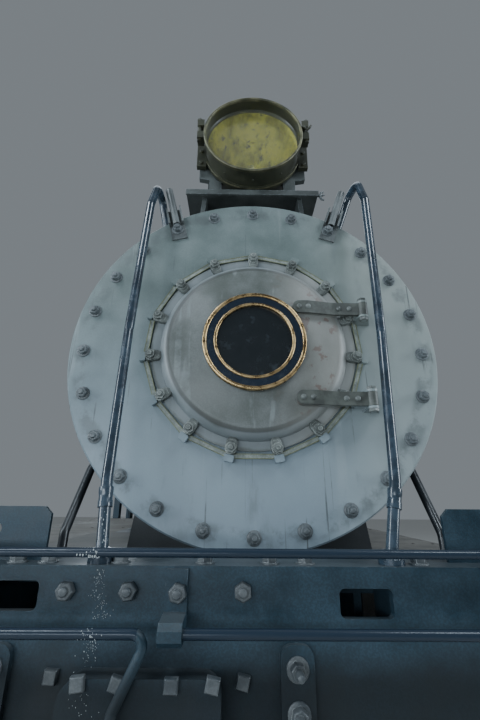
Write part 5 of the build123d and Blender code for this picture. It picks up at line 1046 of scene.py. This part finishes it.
def makeDrips():
    bm = bmesh.new()
    rng = random.Random(11)
    middle, high = drips["middle"], drips["high"]
    for k in range(drips["specks"]):
        z = rng.uniform(drips["low"] if k % 3 else drips["mostly"], high)
        x = middle + 0.01 * sin(z * 38) + rng.gauss(0, 0.007 + (high - z) * 0.035)
        addSpeck(bm, x, z, rng.uniform(0.0004, 0.0009), rng.uniform(1, 2.4))
    for k in range(drips["post"]):
        z = drips["postFoot"] + rng.random() ** 2 * 0.12
        addSpeck(bm, middle + rng.gauss(-0.015, 0.012), z, rng.uniform(0.0006, 0.0018), rng.uniform(1.2, 3))
    finishPiece(bm, "paint_drips", "whiteDrips")


for make in (makeRimBolts, makeDoorStuds, makeClampToes, makeRingEdges, makeHingeNuts, makeStrapRivets,
             makePlateRims, makeReflectorBowl, makeLampBulb, makeLampRims, makeLampLatches, makeShelfFittings,
             makeRailSleeves):
    make()
makeBeamBolts("front", -1)
makeBeamBolts("rear", 1)
makeDrips()
print("stage: front pieces made")

# rings of rivets where the smokebox plates are joined, and rows above the saddle
shellRivets = {"rings": (-4.94, -4.902, -3.7), "count": 60, "rivet": (0.0115, 0.007, 8, 3),
               "saddleFrom": -0.75, "rowFrom": -4.85, "rowStep": 0.058, "rowCount": 20, "rowHeight": 1.8}


def makeShellRivets():
    bm = bmesh.new()
    x, z = frontCentre.x, frontCentre.z
    for y in shellRivets["rings"]:
        for outward in map(facing, turns(shellRivets["count"])):
            if outward.z > shellRivets["saddleFrom"] or y < -4.7:
                seat(bm, "smokebox", Vector((x, y, z)) + outward * 1.2, outward, addDome, *shellRivets["rivet"])
    for side in (-1, 1):
        for k in range(shellRivets["rowCount"]):
            y = shellRivets["rowFrom"] + k * shellRivets["rowStep"]
            hit = onSurface("smokebox", (x + side * 1.2, y, shellRivets["rowHeight"]), (-side, 0, 0))
            if hit:
                addDome(bm, hit, hit - Vector((x, y, z)), *shellRivets["rivet"])
    finishPiece(bm, "smokebox_rivets", "shellPaint")


# node, place along the boiler, circle, count, lean of the bolts, bolt
baseBolts = (("stack_base", -4.33, 0.285, 14, 0.25, (0.028, 0.014, 0.019, 0.006)),
             ("steam_dome", -1.65, 0.34, 18, 0.3, (0.022, 0.011)),
             ("sand_dome", -2.95, 0.33, 16, 0.3, (0.022, 0.011)))


def makeBaseBolts():
    bm = bmesh.new()
    for node, y, circle, count, lean, bolt in baseBolts:
        for a in turns(count, 0.5):
            origin = (boilerX + circle * cos(a), y + circle * sin(a), 3.2)
            seat(bm, node, origin, upward, addBolt, *bolt, axis=(lean * cos(a), lean * sin(a), 1))
    finishPiece(bm, "base_bolts", "shellPaint", bevel=0.001)


stackBands = {"middle": Vector((boilerX, -4.33, 0)), "heights": (3.575, 3.625), "rivetHeight": 3.6,
              "band": [(0.262, -0.006), (0.2705, -0.005), (0.2715, 0), (0.2705, 0.005), (0.262, 0.006)],
              "rivets": 24, "rivetCircle": 0.2668, "rivet": (0.009, 0.006, 8, 3)}


def makeStackBands():
    bm = bmesh.new()
    middle = stackBands["middle"]
    for height in stackBands["heights"]:
        addLathe(bm, middle, upward, [(radius, height + rise) for radius, rise in stackBands["band"]], 48)
    for outward in map(level, turns(stackBands["rivets"])):
        place = middle + outward * stackBands["rivetCircle"] + upward * stackBands["rivetHeight"]
        addDome(bm, place, outward, *stackBands["rivet"])
    finishPiece(bm, "stack_bands", "shellPaint")


# pipes that bring sand from the dome down to the deck on both sides: out, along and height of each bend
sandPipes = {
    "radius": 0.019, "bend": 0.09, "starts": (-3.04, -2.86),
    "bends": ((0.255, 0, 2.9), (0.44, 0, 2.84), (0.69, 0.03, 2.64), (0.705, 0.05, 2),
              (0.68, 0.2, 1.7), (0.66, 0.26, 1.418)),
    "boss": [(0.034, -0.004), (0.034, 0.014), (0.024, 0.018), (0.024, 0.03), (0.012, 0.03)],
    "foot": [(0.034, -0.001), (0.034, 0.008), (0.026, 0.014), (0.016, 0.014)], "deck": (0.66, 0.26, 1.4135),
}


def makeSandPipes():
    bm = bmesh.new()
    for side in (-1, 1):
        for way, y in zip((-1, 1), sandPipes["starts"]):
            places = [(boilerX + side * out, y + way * along, z)
                      for out, along, z in (*sandPipes["bends"], sandPipes["deck"])]
            addPipe(bm, places[:-1], sandPipes["bend"], sandPipes["radius"])
            seat(bm, "sand_dome", (boilerX + side * 0.8, y, 2.9), (side, 0, 0), addLathe, sandPipes["boss"], 16,
                 axis=(side, 0, 0.05))
            addLathe(bm, Vector(places[-1]), upward, sandPipes["foot"], 16)
    finishPiece(bm, "sand_pipes", "jacketPaint", smooth=50)


# a bent handle standing on a point, its feet to the left and right
def addHandle(bm, foot, half, low, high, bend, radius, sides):
    places = [(side * half, 0, z) for side, z in ((-1, low), (-1, high), (1, high), (1, low))]
    addPipe(bm, [foot + Vector(place) for place in places], bend, radius, sides)


sandLid = {"y": -2.95, "radius": 0.115}


def makeDomeLid():
    bm = bmesh.new()
    top = onSurface("sand_dome", (boilerX, sandLid["y"], 3.6), -upward)
    r = sandLid["radius"]
    addLathe(bm, top, upward, [(r + 0.012, -0.012), (r + 0.012, 0.004), (r, 0.006), (r, 0.022), (r * 0.9, 0.032),
                               (r * 0.3, 0.04), (0, 0.04)])
    addHandle(bm, top, 0.05, 0.034, 0.072, 0.02, 0.007, 10)
    addBlock(bm, top + Vector((-0.03, r, 0)), top + Vector((0.03, r + 0.035, 0.026)))
    finishPiece(bm, "sand_dome_lid", "jacketPaint", bevel=0.002)


# plugs for washing out the boiler, rivets and stays on the firebox
fireboxDetail = {
    "plugAngles": (28, 152), "plugPlaces": (-0.55, -0.25, 0.35, 0.62), "plugHead": (0.026, 0.022, 4),
    "plug": [(0.044, -0.004), (0.044, 0.006), (0.036, 0.01), (0.03, 0.01), (0.03, 0.018), (0, 0.018)],
    "stayRows": (1.55, 1.67, 1.79, 1.91, 2.03), "stayFrom": -0.3, "stayStep": 0.125, "stays": 8,
    "stay": (0.013, 0.008, 8, 3), "bands": (-0.66, 0.72), "bandRivets": 34, "rivet": (0.01, 0.006, 8, 3),
}


def makeFireboxDetail():
    bm = bmesh.new()
    look = fireboxDetail
    x, z = frontCentre.x, frontCentre.z
    for y in look["plugPlaces"]:
        for degrees in look["plugAngles"]:
            outward = facing(radians(degrees))
            hit = seat(bm, "boiler", Vector((x, y, z)) + outward * 1.3, outward, addLathe, look["plug"], 20)
            if hit:
                addHead(bm, hit + outward * 0.017, outward, *look["plugHead"])
    for side in (-1, 1):
        for row, height in enumerate(look["stayRows"]):
            for k in range(look["stays"]):
                y = look["stayFrom"] + (k + 0.5 * (row % 2)) * look["stayStep"]
                seat(bm, "boiler", (x + side * 1.3, y, height), (side, 0, 0), addDome, *look["stay"])
    for y in look["bands"]:
        for k in range(look["bandRivets"]):
            outward = facing(radians(-6 + 192 * k / (look["bandRivets"] - 1)))
            seat(bm, "boiler", Vector((x, y, z)) + outward * 1.3, outward, addDome, *look["rivet"])
    finishPiece(bm, "firebox_rivets", "jacketPaint")


# feet and collars where posts hold the handrails along the boiler, and knobs at the rails' ends
boilerRails = {
    "angle": 35, "barrel": 0.64, "posts": (-3.35, -2.55, -1.5), "ends": ((-4.85, -1), (-1.3, 1)),
    "foot": [(0.034, -0.001), (0.034, 0.006), (0.02, 0.012), (0.016, 0.026), (0.01, 0.026)],
    "knob": [(0.0152, -0.02), (0.022, -0.014), (0.024, 0), (0.02, 0.012), (0, 0.018)],
    "collar": [(0.0152, -0.028), (0.024, -0.016), (0.027, 0), (0.024, 0.016), (0.0152, 0.028)],
}


def makeBoilerRailFeet():
    bm = bmesh.new()
    look, a = boilerRails, radians(boilerRails["angle"])
    for side in (-1, 1):
        outward = Vector((side * cos(a), 0, sin(a)))
        for y in look["posts"]:
            origin = Vector((frontCentre.x, y, frontCentre.z)) + outward * 1.2
            seat(bm, "boiler", origin, outward, addLathe, look["foot"], 20)
        railX = frontCentre.x + side * (look["barrel"] * cos(a) + 0.075)
        railZ = frontCentre.z + look["barrel"] * sin(a) + 0.03
        for y, way in look["ends"]:
            addLathe(bm, Vector((railX, y, railZ)), (0, way, 0), look["knob"], 16)
        for y in look["posts"]:
            addLathe(bm, Vector((railX, y, railZ)), (0, 1, 0), look["collar"], 16)
    finishPiece(bm, "boiler_rail_fittings", "railBlack", smooth=50)


engineBolts = {
    "x": -1.06, "cylinders": (-0.95, -0.35, 0.25), "circle": 0.185, "count": 10,
    "coverBolt": (0.032, 0.018, 0.021, 0.01), "bands": (2.12, 2.44), "top": 2.628, "topHead": (0.07, 0.026),
    "band": [(0.21, -0.016), (0.2195, -0.014), (0.2195, 0.014), (0.21, 0.016)],
    "rows": (2.095, 2.465), "rowFrom": -1.14, "rowStep": 0.1215, "rowCount": 14,
    "rowBolt": (0.026, 0.014, 0, 0.006), "pillars": (-1.25, -0.65, -0.05, 0.55), "pillarHalf": 0.202,
    "faceNuts": ((0.4, 0.034, 0.018, 0.022, 0.008), (0.56, 0.034, 0.018, 0.022, 0.008), (1.205, 0.026, 0.014),
                 (1.245, 0.026, 0.014)), "topNut": (0.036, 0.02, 0.024, 0.01),
}


def makeCylinderBolts():
    bm = bmesh.new()
    look, x, r = engineBolts, engineBolts["x"], engineBolts["circle"]
    for y in look["cylinders"]:
        for a in turns(look["count"], 0.5):
            origin = (x + r * cos(a), y + r * sin(a), 3)
            seat(bm, "cylinders", origin, upward, addBolt, *look["coverBolt"])
        for height in look["bands"]:
            addLathe(bm, Vector((x, y, height)), upward, look["band"], 48)
        addHead(bm, Vector((x, y, look["top"])), upward, *look["topHead"])
    for z in look["rows"]:
        for k in range(look["rowCount"]):
            origin = (-0.3, look["rowFrom"] + k * look["rowStep"], z)
            seat(bm, "cylinders", origin, (1, 0, 0), addBolt, *look["rowBolt"])
    finishPiece(bm, "cylinder_bolts", "castBlack", bevel=0.001)


def makeEngineNuts():
    bm = bmesh.new()
    look = engineBolts
    for y in look["pillars"]:
        for x in (look["x"] - look["pillarHalf"], look["x"] + look["pillarHalf"]):
            for z, *nut in look["faceNuts"]:
                seat(bm, "engine_frame", (x, y - 0.5, z), forward, addBolt, *nut)
            seat(bm, "engine_frame", (x, y, 2.6), upward, addBolt, *look["topNut"])
    finishPiece(bm, "engine_nuts", "beamBoltPaint", bevel=0.001)


# lids on the journal boxes, nuts on the arch bars, and bolts on the shaft bearings
trucks = {
    "front": -3.4, "rear": 3.3, "halfBase": 0.71, "axleHeight": 0.482,
    "lid": [(-0.095, -0.105), (0.095, -0.105), (0.095, 0.075), (0.06, 0.115), (-0.06, 0.115), (-0.095, 0.075)],
    "boss": [(-0.045, -0.07), (0.045, -0.07), (0.06, 0.05), (-0.06, 0.05)],
    "lidBolt": (0.028, 0.014, 0, 0.008), "barNut": (0.04, 0.022, 0.028, 0.016),
    "bearingBolt": (0.026, 0.014, 0, 0.008), "endBars": (0.9, -0.968), "middleBars": (0.9, -1),
}


# nuts on top of a bar and under it
def seatPairs(bm, node, xs, y, half):
    for x in xs:
        for dy in (-half, half):
            for start, way in ((1.2, 1), (-0.2, -1)):
                seat(bm, node, (x, y + dy, start), (0, 0, way), addBolt, *trucks["barNut"])


def makeTruckDetail(end):
    bm = bmesh.new()
    node, axle = end + "_truck", trucks["axleHeight"]
    for way in (-1, 1):
        y = trucks[end] + way * trucks["halfBase"]
        face = onSurface(node, (1.6, y + 0.11, axle + 0.02), (-1, 0, 0))
        if face:
            x = face.x
            addSlab(bm, trucks["lid"], (x - 0.0005, y, axle), 0.016)
            addSlab(bm, trucks["boss"], (x + 0.014, y, axle), 0.012)
            addTube(bm, [(x + 0.012, y - 0.075, axle + 0.105), (x + 0.012, y + 0.075, axle + 0.105)], 0.013, 12)
            for dy in (-0.11, 0.11):
                for dz in (-0.125, 0.125):
                    addBolt(bm, (x - 0.0005, y + dy, axle + dz), (1, 0, 0), *trucks["lidBolt"])
        seatPairs(bm, node, trucks["endBars"], y, 0.085)
        for dz in (-0.07, 0.07):
            seat(bm, node, (-1.6, y, axle + dz), (-1, 0, 0), addBolt, *trucks["bearingBolt"])
    seatPairs(bm, node, trucks["middleBars"], trucks[end], 0.145)
    finishPiece(bm, end + "_truck_fittings", "truckIron", node, 0.0015)


# rows of rivets: y and z of their ends on a side, x and z on an end
cabRivets = {
    "spacing": 0.075, "radius": 0.0095, "side": 1.42, "face": 0.76,
    "sideRows": ((0.79, 1.5, 0.79, 3.07), (1.76, 1.5, 1.76, 3.07), (0.865, 1.5, 1.7, 1.5),
                 (0.865, 3.07, 1.7, 3.07), (0.865, 1.985, 1.7, 1.985), (1.84, 3.07, 2.42, 3.07),
                 (1.84, 2.945, 2.42, 2.945)),
    "faceRows": ((-1.38, 1.5, -0.52, 1.5), (1.04, 1.5, 1.38, 1.5), (-1.38, 2.06, -0.56, 2.06),
                 (1.08, 2.06, 1.38, 2.06), (-1.38, 3.06, 1.38, 3.06), (-1.39, 1.575, -1.39, 2.985),
                 (1.39, 1.575, 1.39, 2.985)),
}
tankRivets = {
    "spacing": 0.068, "radius": 0.0105, "side": 1.33, "face": 5.11,
    "sideRows": ((2.6, 1.46, 2.6, 2.85), (3.23, 1.53, 3.23, 2.78), (3.83, 1.53, 3.83, 2.78),
                 (4.43, 1.53, 4.43, 2.45), (5.015, 1.53, 5.015, 2.45), (2.67, 1.46, 5.015, 1.46),
                 (3.9, 2.515, 5.015, 2.515), (2.67, 2.85, 3.83, 2.85), (2.67, 2, 4.95, 2)),
    "faceRows": ((-1.235, 1.46, 1.235, 1.46), (-1.235, 2.515, 1.235, 2.515), (-1.235, 1.53, -1.235, 2.45),
                 (1.235, 1.53, 1.235, 2.45), (-0.43, 1.53, -0.43, 2.45), (0.43, 1.53, 0.43, 2.45)),
    "top": 2.56, "topRows": ((-1.285, 3.96, -1.285, 5.03), (1.285, 3.96, 1.285, 5.03),
                              (-1.22, 5.07, 1.22, 5.07)),
}


def makeSheetRivets(name, look, faceWay):
    bm = bmesh.new()
    step, radius = look["spacing"], look["radius"]
    for side in (-1, 1):
        x = side * look["side"]
        for y1, z1, y2, z2 in look["sideRows"]:
            rivetRow(bm, (x, y1, z1), (x, y2, z2), step, (side, 0, 0), radius)
    for x1, z1, x2, z2 in look["faceRows"]:
        rivetRow(bm, (x1, look["face"], z1), (x2, look["face"], z2), step, (0, faceWay, 0), radius)
    for x1, y1, x2, y2 in look.get("topRows", ()):
        rivetRow(bm, (x1, y1, look["top"]), (x2, y2, look["top"]), step, upward, radius)
    finishPiece(bm, name, "cabPaint")


# sashes in the side windows, and frames round the end windows
windows = {"side": (0.99, 1.66, 2.15, 2.82), "bar": 0.034, "edge": 0.03,
           "ends": ((0.76, -1, 1.08, 1.34, 2.21, 2.82), (2.45, 1, 0.5, 1.1, 2.35, 2.82))}


def makeSashes():
    bm = bmesh.new()
    y1, y2, z1, z2 = windows["side"]
    w, edge = windows["bar"], windows["edge"]
    for side in (-1, 1):
        for a, b, c, d in ((y1, y2, z1, z1 + w), (y1, y2, z2 - w, z2), (y1, y1 + w, z1 + w, z2 - w),
                           (y2 - w, y2, z1 + w, z2 - w)):
            addBlock(bm, (side * 1.384, a + 0.0005, c + 0.0005), (side * 1.416, b - 0.0005, d - 0.0005))
        middle = (y1 + y2) / 2
        addBlock(bm, (side * 1.388, middle - w / 2, z1 + w), (side * 1.412, middle + w / 2, z2 - w))
        for y, way, near, far, low, high in windows["ends"]:
            left, right = sorted((side * near, side * far))
            for x1, x2, c, d in ((left - edge, right + edge, low - edge, low),
                                 (left - edge, right + edge, high, high + edge),
                                 (left - edge, left, low, high), (right, right + edge, low, high)):
                addBlock(bm, (x1, y - way * 0.004, c), (x2, y + way * 0.01, d))
    finishPiece(bm, "window_sashes", "sashPaint", bevel=0.0025)


roof = {
    "half": 1.5, "eaves": 3.08, "rise": 0.33, "thickness": 0.03, "seams": (0.62, 1.12, 2.08, 2.59),
    "seamHalf": 0.028, "seamReach": 1.495, "seamSteps": 40, "rivets": 34, "rivetReach": 1.44,
    "gutter": (1.49, 0.6, 2.61, 3.094), "slats": 5, "slatFrom": 3.425, "slatStep": 0.0125,
}


def roofHeight(x):
    arc = (roof["half"] ** 2 + roof["rise"] ** 2) / (2 * roof["rise"])
    return roof["eaves"] + roof["thickness"] - (arc - roof["rise"]) + sqrt(arc ** 2 - x ** 2)


# covered joints of the roof sheets, gutters, and slats of the vent
def makeRoofSeams():
    bm = bmesh.new()
    half, reach = roof["seamHalf"], roof["seamReach"]
    for y in roof["seams"]:
        loops = []
        for k in range(roof["seamSteps"] + 1):
            x = 2 * reach * k / roof["seamSteps"] - reach
            z = roofHeight(x)
            loops.append([bm.verts.new((x, y + dy, z + dz)) for dy, dz in
                          ((-half, -0.002), (-half, 0.005), (half, 0.005), (half, -0.002))])
        skinLoops(bm, loops)
        closeEnds(bm, loops[0], loops[-1])
        for k in range(roof["rivets"]):
            x = 2 * roof["rivetReach"] * k / (roof["rivets"] - 1) - roof["rivetReach"]
            addDome(bm, (x, y, roofHeight(x) + 0.0045), upward, 0.009, 0.005, 8, 3)
    x, start, end, z = roof["gutter"]
    for side in (-1, 1):
        addTube(bm, [(side * x, start + (end - start) * k / 12, z) for k in range(13)], 0.013, 10)
    for k in range(roof["slats"]):
        low = roof["slatFrom"] + k * roof["slatStep"]
        for side in (-1, 1):
            addBlock(bm, (side * 0.378, 1.34, low), (side * 0.392, 1.86, low + 0.005))
    finishPiece(bm, "roof_seams", "roofPaint", smooth=40)


bunkerRim = {"x": 1.318, "front": 2.513, "back": 3.888, "top": 2.902, "radius": 0.016, "corner": 0.055}


def makeBunkerRim():
    bm = bmesh.new()
    x, a, b, z = (bunkerRim[key] for key in ("x", "front", "back", "top"))
    addPipe(bm, [(0, a, z), (x, a, z), (x, b, z), (-x, b, z), (-x, a, z), (0, a, z)], bunkerRim["corner"],
            bunkerRim["radius"])
    finishPiece(bm, "bunker_rim", "cabPaint", smooth=60)


lidHandle = {"top": 2.6366, "y": 4.66, "middle": 4.6, "rivets": 12, "circle": 0.215}


def makeLidHandle():
    bm = bmesh.new()
    addHandle(bm, Vector((0, lidHandle["y"], lidHandle["top"])), 0.075, -0.002, 0.05, 0.022, 0.01, 12)
    for a in turns(lidHandle["rivets"], 0.5):
        place = Vector((0, lidHandle["middle"], lidHandle["top"] - 0.0006)) + level(a) * lidHandle["circle"]
        addDome(bm, place, upward, 0.009, 0.005, 8, 3)
    finishPiece(bm, "tank_lid_handle", "cabPaint", "tank_lid")


rearLamp = {
    "centre": Vector((0, 4.99, 2.88)), "bead": (0.1575, 0.1712, 0.004, 64, 0.006), "beadAt": 0.13,
    "band": [(0.168, 0.04), (0.1725, 0.041), (0.1725, 0.049), (0.168, 0.05)],
    "mirror": [(0.148 * k / 12, 0.014 + 0.03 * (k / 12) ** 2) for k in range(13)] + [(0.1555, 0.1)],
    "glass": [(0, 0.112), (0.08, 0.1105), (0.157, 0.105), (0.157, 0.102), (0.08, 0.1075), (0, 0.109)],
}


def makeRearLamp():
    back, middle = (0, 1, 0), rearLamp["centre"]
    bm = bmesh.new()
    addBead(bm, middle - forward * rearLamp["beadAt"], back, *rearLamp["bead"])
    addLathe(bm, middle, back, rearLamp["band"], 64)
    finishPiece(bm, "rear_lamp_rims", "lampBrass", smooth=50)
    for name, shape, paint in (("rear_lamp_reflector", "mirror", "reflector"),
                               ("rear_lamp_glass", "glass", "lampGlass")):
        bm = bmesh.new()
        addLathe(bm, middle, back, rearLamp[shape], 64)
        finishPiece(bm, name, paint, smooth=60)


# bands round the air tanks, the pump's two pipes and the rivets round its joints
airLines = {
    "x": 1.1, "bands": (-1.6, -0.9), "pumpY": -2.3, "joints": (1.992, 2.02, 2.127, 2.153),
    "band": [(0.1895, -0.024), (0.195, -0.022), (0.195, 0.022), (0.1895, 0.024)], "startIfNone": -2.18,
}


def makeAirLines():
    bm = bmesh.new()
    for y in airLines["bands"]:
        addLathe(bm, Vector((1.12, y, 1.18)), (0, 1, 0), airLines["band"], 48)
        for way in (-1, 1):
            addBolt(bm, (1.12 + way * 0.155, y, 1.3), (way * 0.8, 0, 0.6), 0.026, 0.014, spin=0)
    x = airLines["x"]
    starts = [onSurface("air_compressor", (x, -1.6, z), forward) or Vector((x, airLines["startIfNone"], z))
              for z in (1.86, 2.3)]
    y = starts[0].y
    addPipe(bm, [starts[0], (x, y + 0.16, 1.86), (1.24, y + 0.24, 1.8), (1.24, -1.86, 1.5), (1.24, -1.8, 1.414)],
            0.06, 0.016)
    y = starts[1].y
    addPipe(bm, [starts[1], (x, y + 0.12, 2.3), (1, y + 0.3, 2.52), (0.8, -1.45, 2.7), (0.62, -0.6, 2.8),
                 (0.44, 0.02, 2.905)], 0.1, 0.014)
    for z in airLines["joints"]:
        for outward in map(level, turns(8, 0.5)):
            origin = Vector((x, airLines["pumpY"], z)) + outward * 0.5
            seat(bm, "air_compressor", origin, outward, addDome, 0.01, 0.006, 8, 3)
    finishPiece(bm, "air_lines", "castBlack", smooth=50)


# rims and faces of two gauges, and three test cocks, on the boiler's end in the cab
backheadLook = {"gauges": (0.01, 0.51), "gaugeHeight": 2.62, "rimAt": 1.0698, "faceAt": 1.0705,
                "rim": (0.076, 0.0905, 0.006, 48, 0.003), "face": [(0.077, 0), (0, 0.0006)], "cocks": 3,
                "cockX": 0.52, "cockFrom": 2.1, "cockStep": 0.12}


def makeBackheadFittings():
    bm = bmesh.new()
    look = backheadLook
    for x in look["gauges"]:
        addBead(bm, Vector((x, look["rimAt"], look["gaugeHeight"])), (0, 1, 0), *look["rim"])
    for k in range(look["cocks"]):
        hit = onSurface("backhead", (look["cockX"], 1.4, look["cockFrom"] + look["cockStep"] * k), forward)
        if hit:
            tip = hit + Vector((0.03, 0.055, 0))
            addTube(bm, [hit, hit + Vector((0, 0.05, 0)), tip], 0.011, 10)
            addLathe(bm, tip, (1, 0, 0), [(0, 0), (0.022, 0), (0.022, 0.008), (0, 0.008)], 16)
    finishPiece(bm, "backhead_brass", "plainBrass", smooth=50)
    bm = bmesh.new()
    for x in look["gauges"]:
        addLathe(bm, Vector((x, look["faceAt"], look["gaugeHeight"])), (0, 1, 0), look["face"], 40)
    finishPiece(bm, "gauge_faces", "gaugeWhite", smooth=60)


bellParts = {
    "y": -2.27, "rod": (3.118, 2.965), "ball": 0.026, "ballAt": 2.955, "hubAt": 3.15,
    "hub": [(0.0175, 0), (0.034, 0), (0.034, 0.008), (0.0175, 0.01)], "bolts": (-0.2, -0.07, 0.07, 0.2),
    "bolt": (0.024, 0.012, 0.016), "baseTop": 2.86,
}


def makeBellParts():
    look, y = bellParts, bellParts["y"]
    bm = bmesh.new()
    addTube(bm, [(boilerX, y, z) for z in look["rod"]], 0.007, 8)
    arc = [(look["ball"] * sin(pi * k / 8), look["ball"] * cos(pi * k / 8)) for k in range(1, 8)]
    ball = [(0, look["ball"]), *arc, (0, -look["ball"])]
    addLathe(bm, Vector((boilerX, y, look["ballAt"])), upward, ball, 16)
    finishPiece(bm, "bell_clapper", "castBlack", "bell", smooth=60)
    bm = bmesh.new()
    for side in (-1, 1):
        hub = onSurface("bell_stand", (boilerX + side * 0.6, y + 0.025, look["hubAt"]), (-side, 0, 0))
        if hub:
            addLathe(bm, Vector((hub.x - side * 0.0005, y, look["hubAt"])), (side, 0, 0), look["hub"], 20)
    for dx in look["bolts"]:
        for dy in (-0.035, 0.035):
            hit = onSurface("bell_stand", (boilerX + dx, y + dy, 3), -upward)
            if hit and hit.z < look["baseTop"]:
                addBolt(bm, hit, upward, *look["bolt"])
    finishPiece(bm, "bell_stand_fittings", "castBlack", bevel=0.001)


# bolt heads where the deck plates are held to their brackets: the right side, then the left
deckBolts = {"right": (-4.9, -4.05, -3, -2.1, -0.35, 0.48), "left": (-4.9, -4.05, -3, -2.05),
             "across": (0.7, 0.95, 1.2, 1.31)}


def makeDeckBolts():
    bm = bmesh.new()
    for way, side in ((1, "right"), (-1, "left")):
        for y in deckBolts[side]:
            for x in deckBolts["across"]:
                seat(bm, "running_boards", (way * x, y + 0.007, 1.8), upward, addDome, 0.013, 0.005, 10, 3)
    finishPiece(bm, "deck_bolts", "deckSteel")


couplerPins = {"x": 0.072, "y": 5.508, "rivetY": 5.42, "rivetHeights": (0.811, 0.991),
               "rivet": (0.014, 0.008, 10, 3),
               "head": [(0.02, -0.004), (0.031, -0.002), (0.033, 0.006), (0.026, 0.014), (0, 0.017)]}


def makeCouplerPins():
    bm = bmesh.new()
    for way, node in ((-1, "front_coupler"), (1, "rear_coupler")):
        seat(bm, node, (-way * couplerPins["x"], way * couplerPins["y"], 1.4), upward, addLathe,
             couplerPins["head"], 20)
        for z in couplerPins["rivetHeights"]:
            seat(bm, node, (0.4, way * couplerPins["rivetY"], z), (1, 0, 0), addDome, *couplerPins["rivet"])
    finishPiece(bm, "coupler_pin_heads", "couplerIron")


for make in (makeShellRivets, makeBaseBolts, makeStackBands, makeSandPipes, makeDomeLid, makeFireboxDetail,
             makeBoilerRailFeet, makeBellParts, makeAirLines):
    make()
print("stage: boiler pieces made")
makeCylinderBolts()
makeEngineNuts()
makeTruckDetail("front")
makeTruckDetail("rear")
makeCouplerPins()
makeDeckBolts()
print("stage: engine and truck pieces made")
makeSheetRivets("cab_rivets", cabRivets, -1)
makeSashes()
makeRoofSeams()
makeBackheadFittings()
makeSheetRivets("tank_rivets", tankRivets, 1)
makeBunkerRim()
makeLidHandle()
makeRearLamp()
print("stage: cab and tank pieces made")

studio = {"floorSize": 60, "floorColour": (0.62, 0.62, 0.6), "floorRough": 0.8, "world": (0.72, 0.8, 0.87, 1),
          "worldPower": 0.27}


def makeStudio():
    bpy.ops.mesh.primitive_plane_add(size=studio["floorSize"], location=(0, 0, -0.001))
    floor = bpy.context.object
    floor.name = "studio_floor"
    material, tree, shader, _ = newMaterial("paleFloor")
    feed(tree, shader, {"Base Color": studio["floorColour"], "Roughness": studio["floorRough"]})
    floor.data.materials.append(material)
    world = bpy.data.worlds.new("studioWorld")
    bpy.context.scene.world = world
    world.use_nodes = True
    background = world.node_tree.nodes["Background"]
    background.inputs["Color"].default_value = studio["world"]
    background.inputs["Strength"].default_value = studio["worldPower"]


# place, aim, width and height, power
lights = {
    "overheadLeft": ((-2.7, -7.6, 6.2), (0, -5, 2), (1.2, 1.6), 120),
    "overheadRight": ((3.3, -7.6, 6.2), (0.4, -5, 2), (1.2, 1.6), 105),
    "low": ((-2.5, -10.5, 1.9), (0.2, -5, 1.6), (5, 1.2), 165),
    "left": ((-6.5, -7.2, 3.6), (0, -4.5, 2), (1.4, 4), 300),
    "right": ((7, -6.6, 3.4), (0, -4.5, 2), (1.4, 4), 300),
    "roof": ((0, 0, 9), (0, 0, 0), (6, 12), 300),
    "back": ((-3, 10.5, 5), (0, 3, 1.5), (5, 3), 300),
}
lightColour = (0.8, 0.91, 1)


def makeLights():
    for name, (place, aim, size, power) in lights.items():
        data = bpy.data.lights.new(name + "_light", "AREA")
        data.shape = "RECTANGLE"
        data.size, data.size_y = size
        data.energy = power
        data.color = lightColour
        lamp = bpy.data.objects.new(name + "_light", data)
        bpy.context.scene.collection.objects.link(lamp)
        lamp.location = place
        lamp.rotation_euler = (Vector(aim) - Vector(place)).to_track_quat("-Z", "Y").to_euler()


cameraLook = {"place": (0.207, -6.367, 1.643), "pitch": 19.965, "yaw": 0.492, "roll": 0.447, "lens": 19.05}


def makeCamera():
    data = bpy.data.cameras.new("photo_camera")
    data.sensor_fit = "VERTICAL"
    data.sensor_height = 36
    data.lens = cameraLook["lens"]
    data.clip_start = 0.02
    data.clip_end = 200
    camera = bpy.data.objects.new("photo_camera", data)
    bpy.context.scene.collection.objects.link(camera)
    pitch, yaw, roll = (radians(cameraLook[key]) for key in ("pitch", "yaw", "roll"))
    ahead = Vector((sin(yaw) * cos(pitch), cos(yaw) * cos(pitch), sin(pitch)))
    right = Vector((cos(yaw), -sin(yaw), 0))
    across = right.cross(ahead)
    turnedRight = right * cos(roll) + across * sin(roll)
    turnedUp = across * cos(roll) - right * sin(roll)
    matrix = Matrix((turnedRight, turnedUp, -ahead)).transposed().to_4x4()
    matrix.translation = Vector(cameraLook["place"])
    camera.matrix_world = matrix
    bpy.context.scene.camera = camera


makeStudio()
makeLights()
makeCamera()
print("stage: floor, lights and camera made")
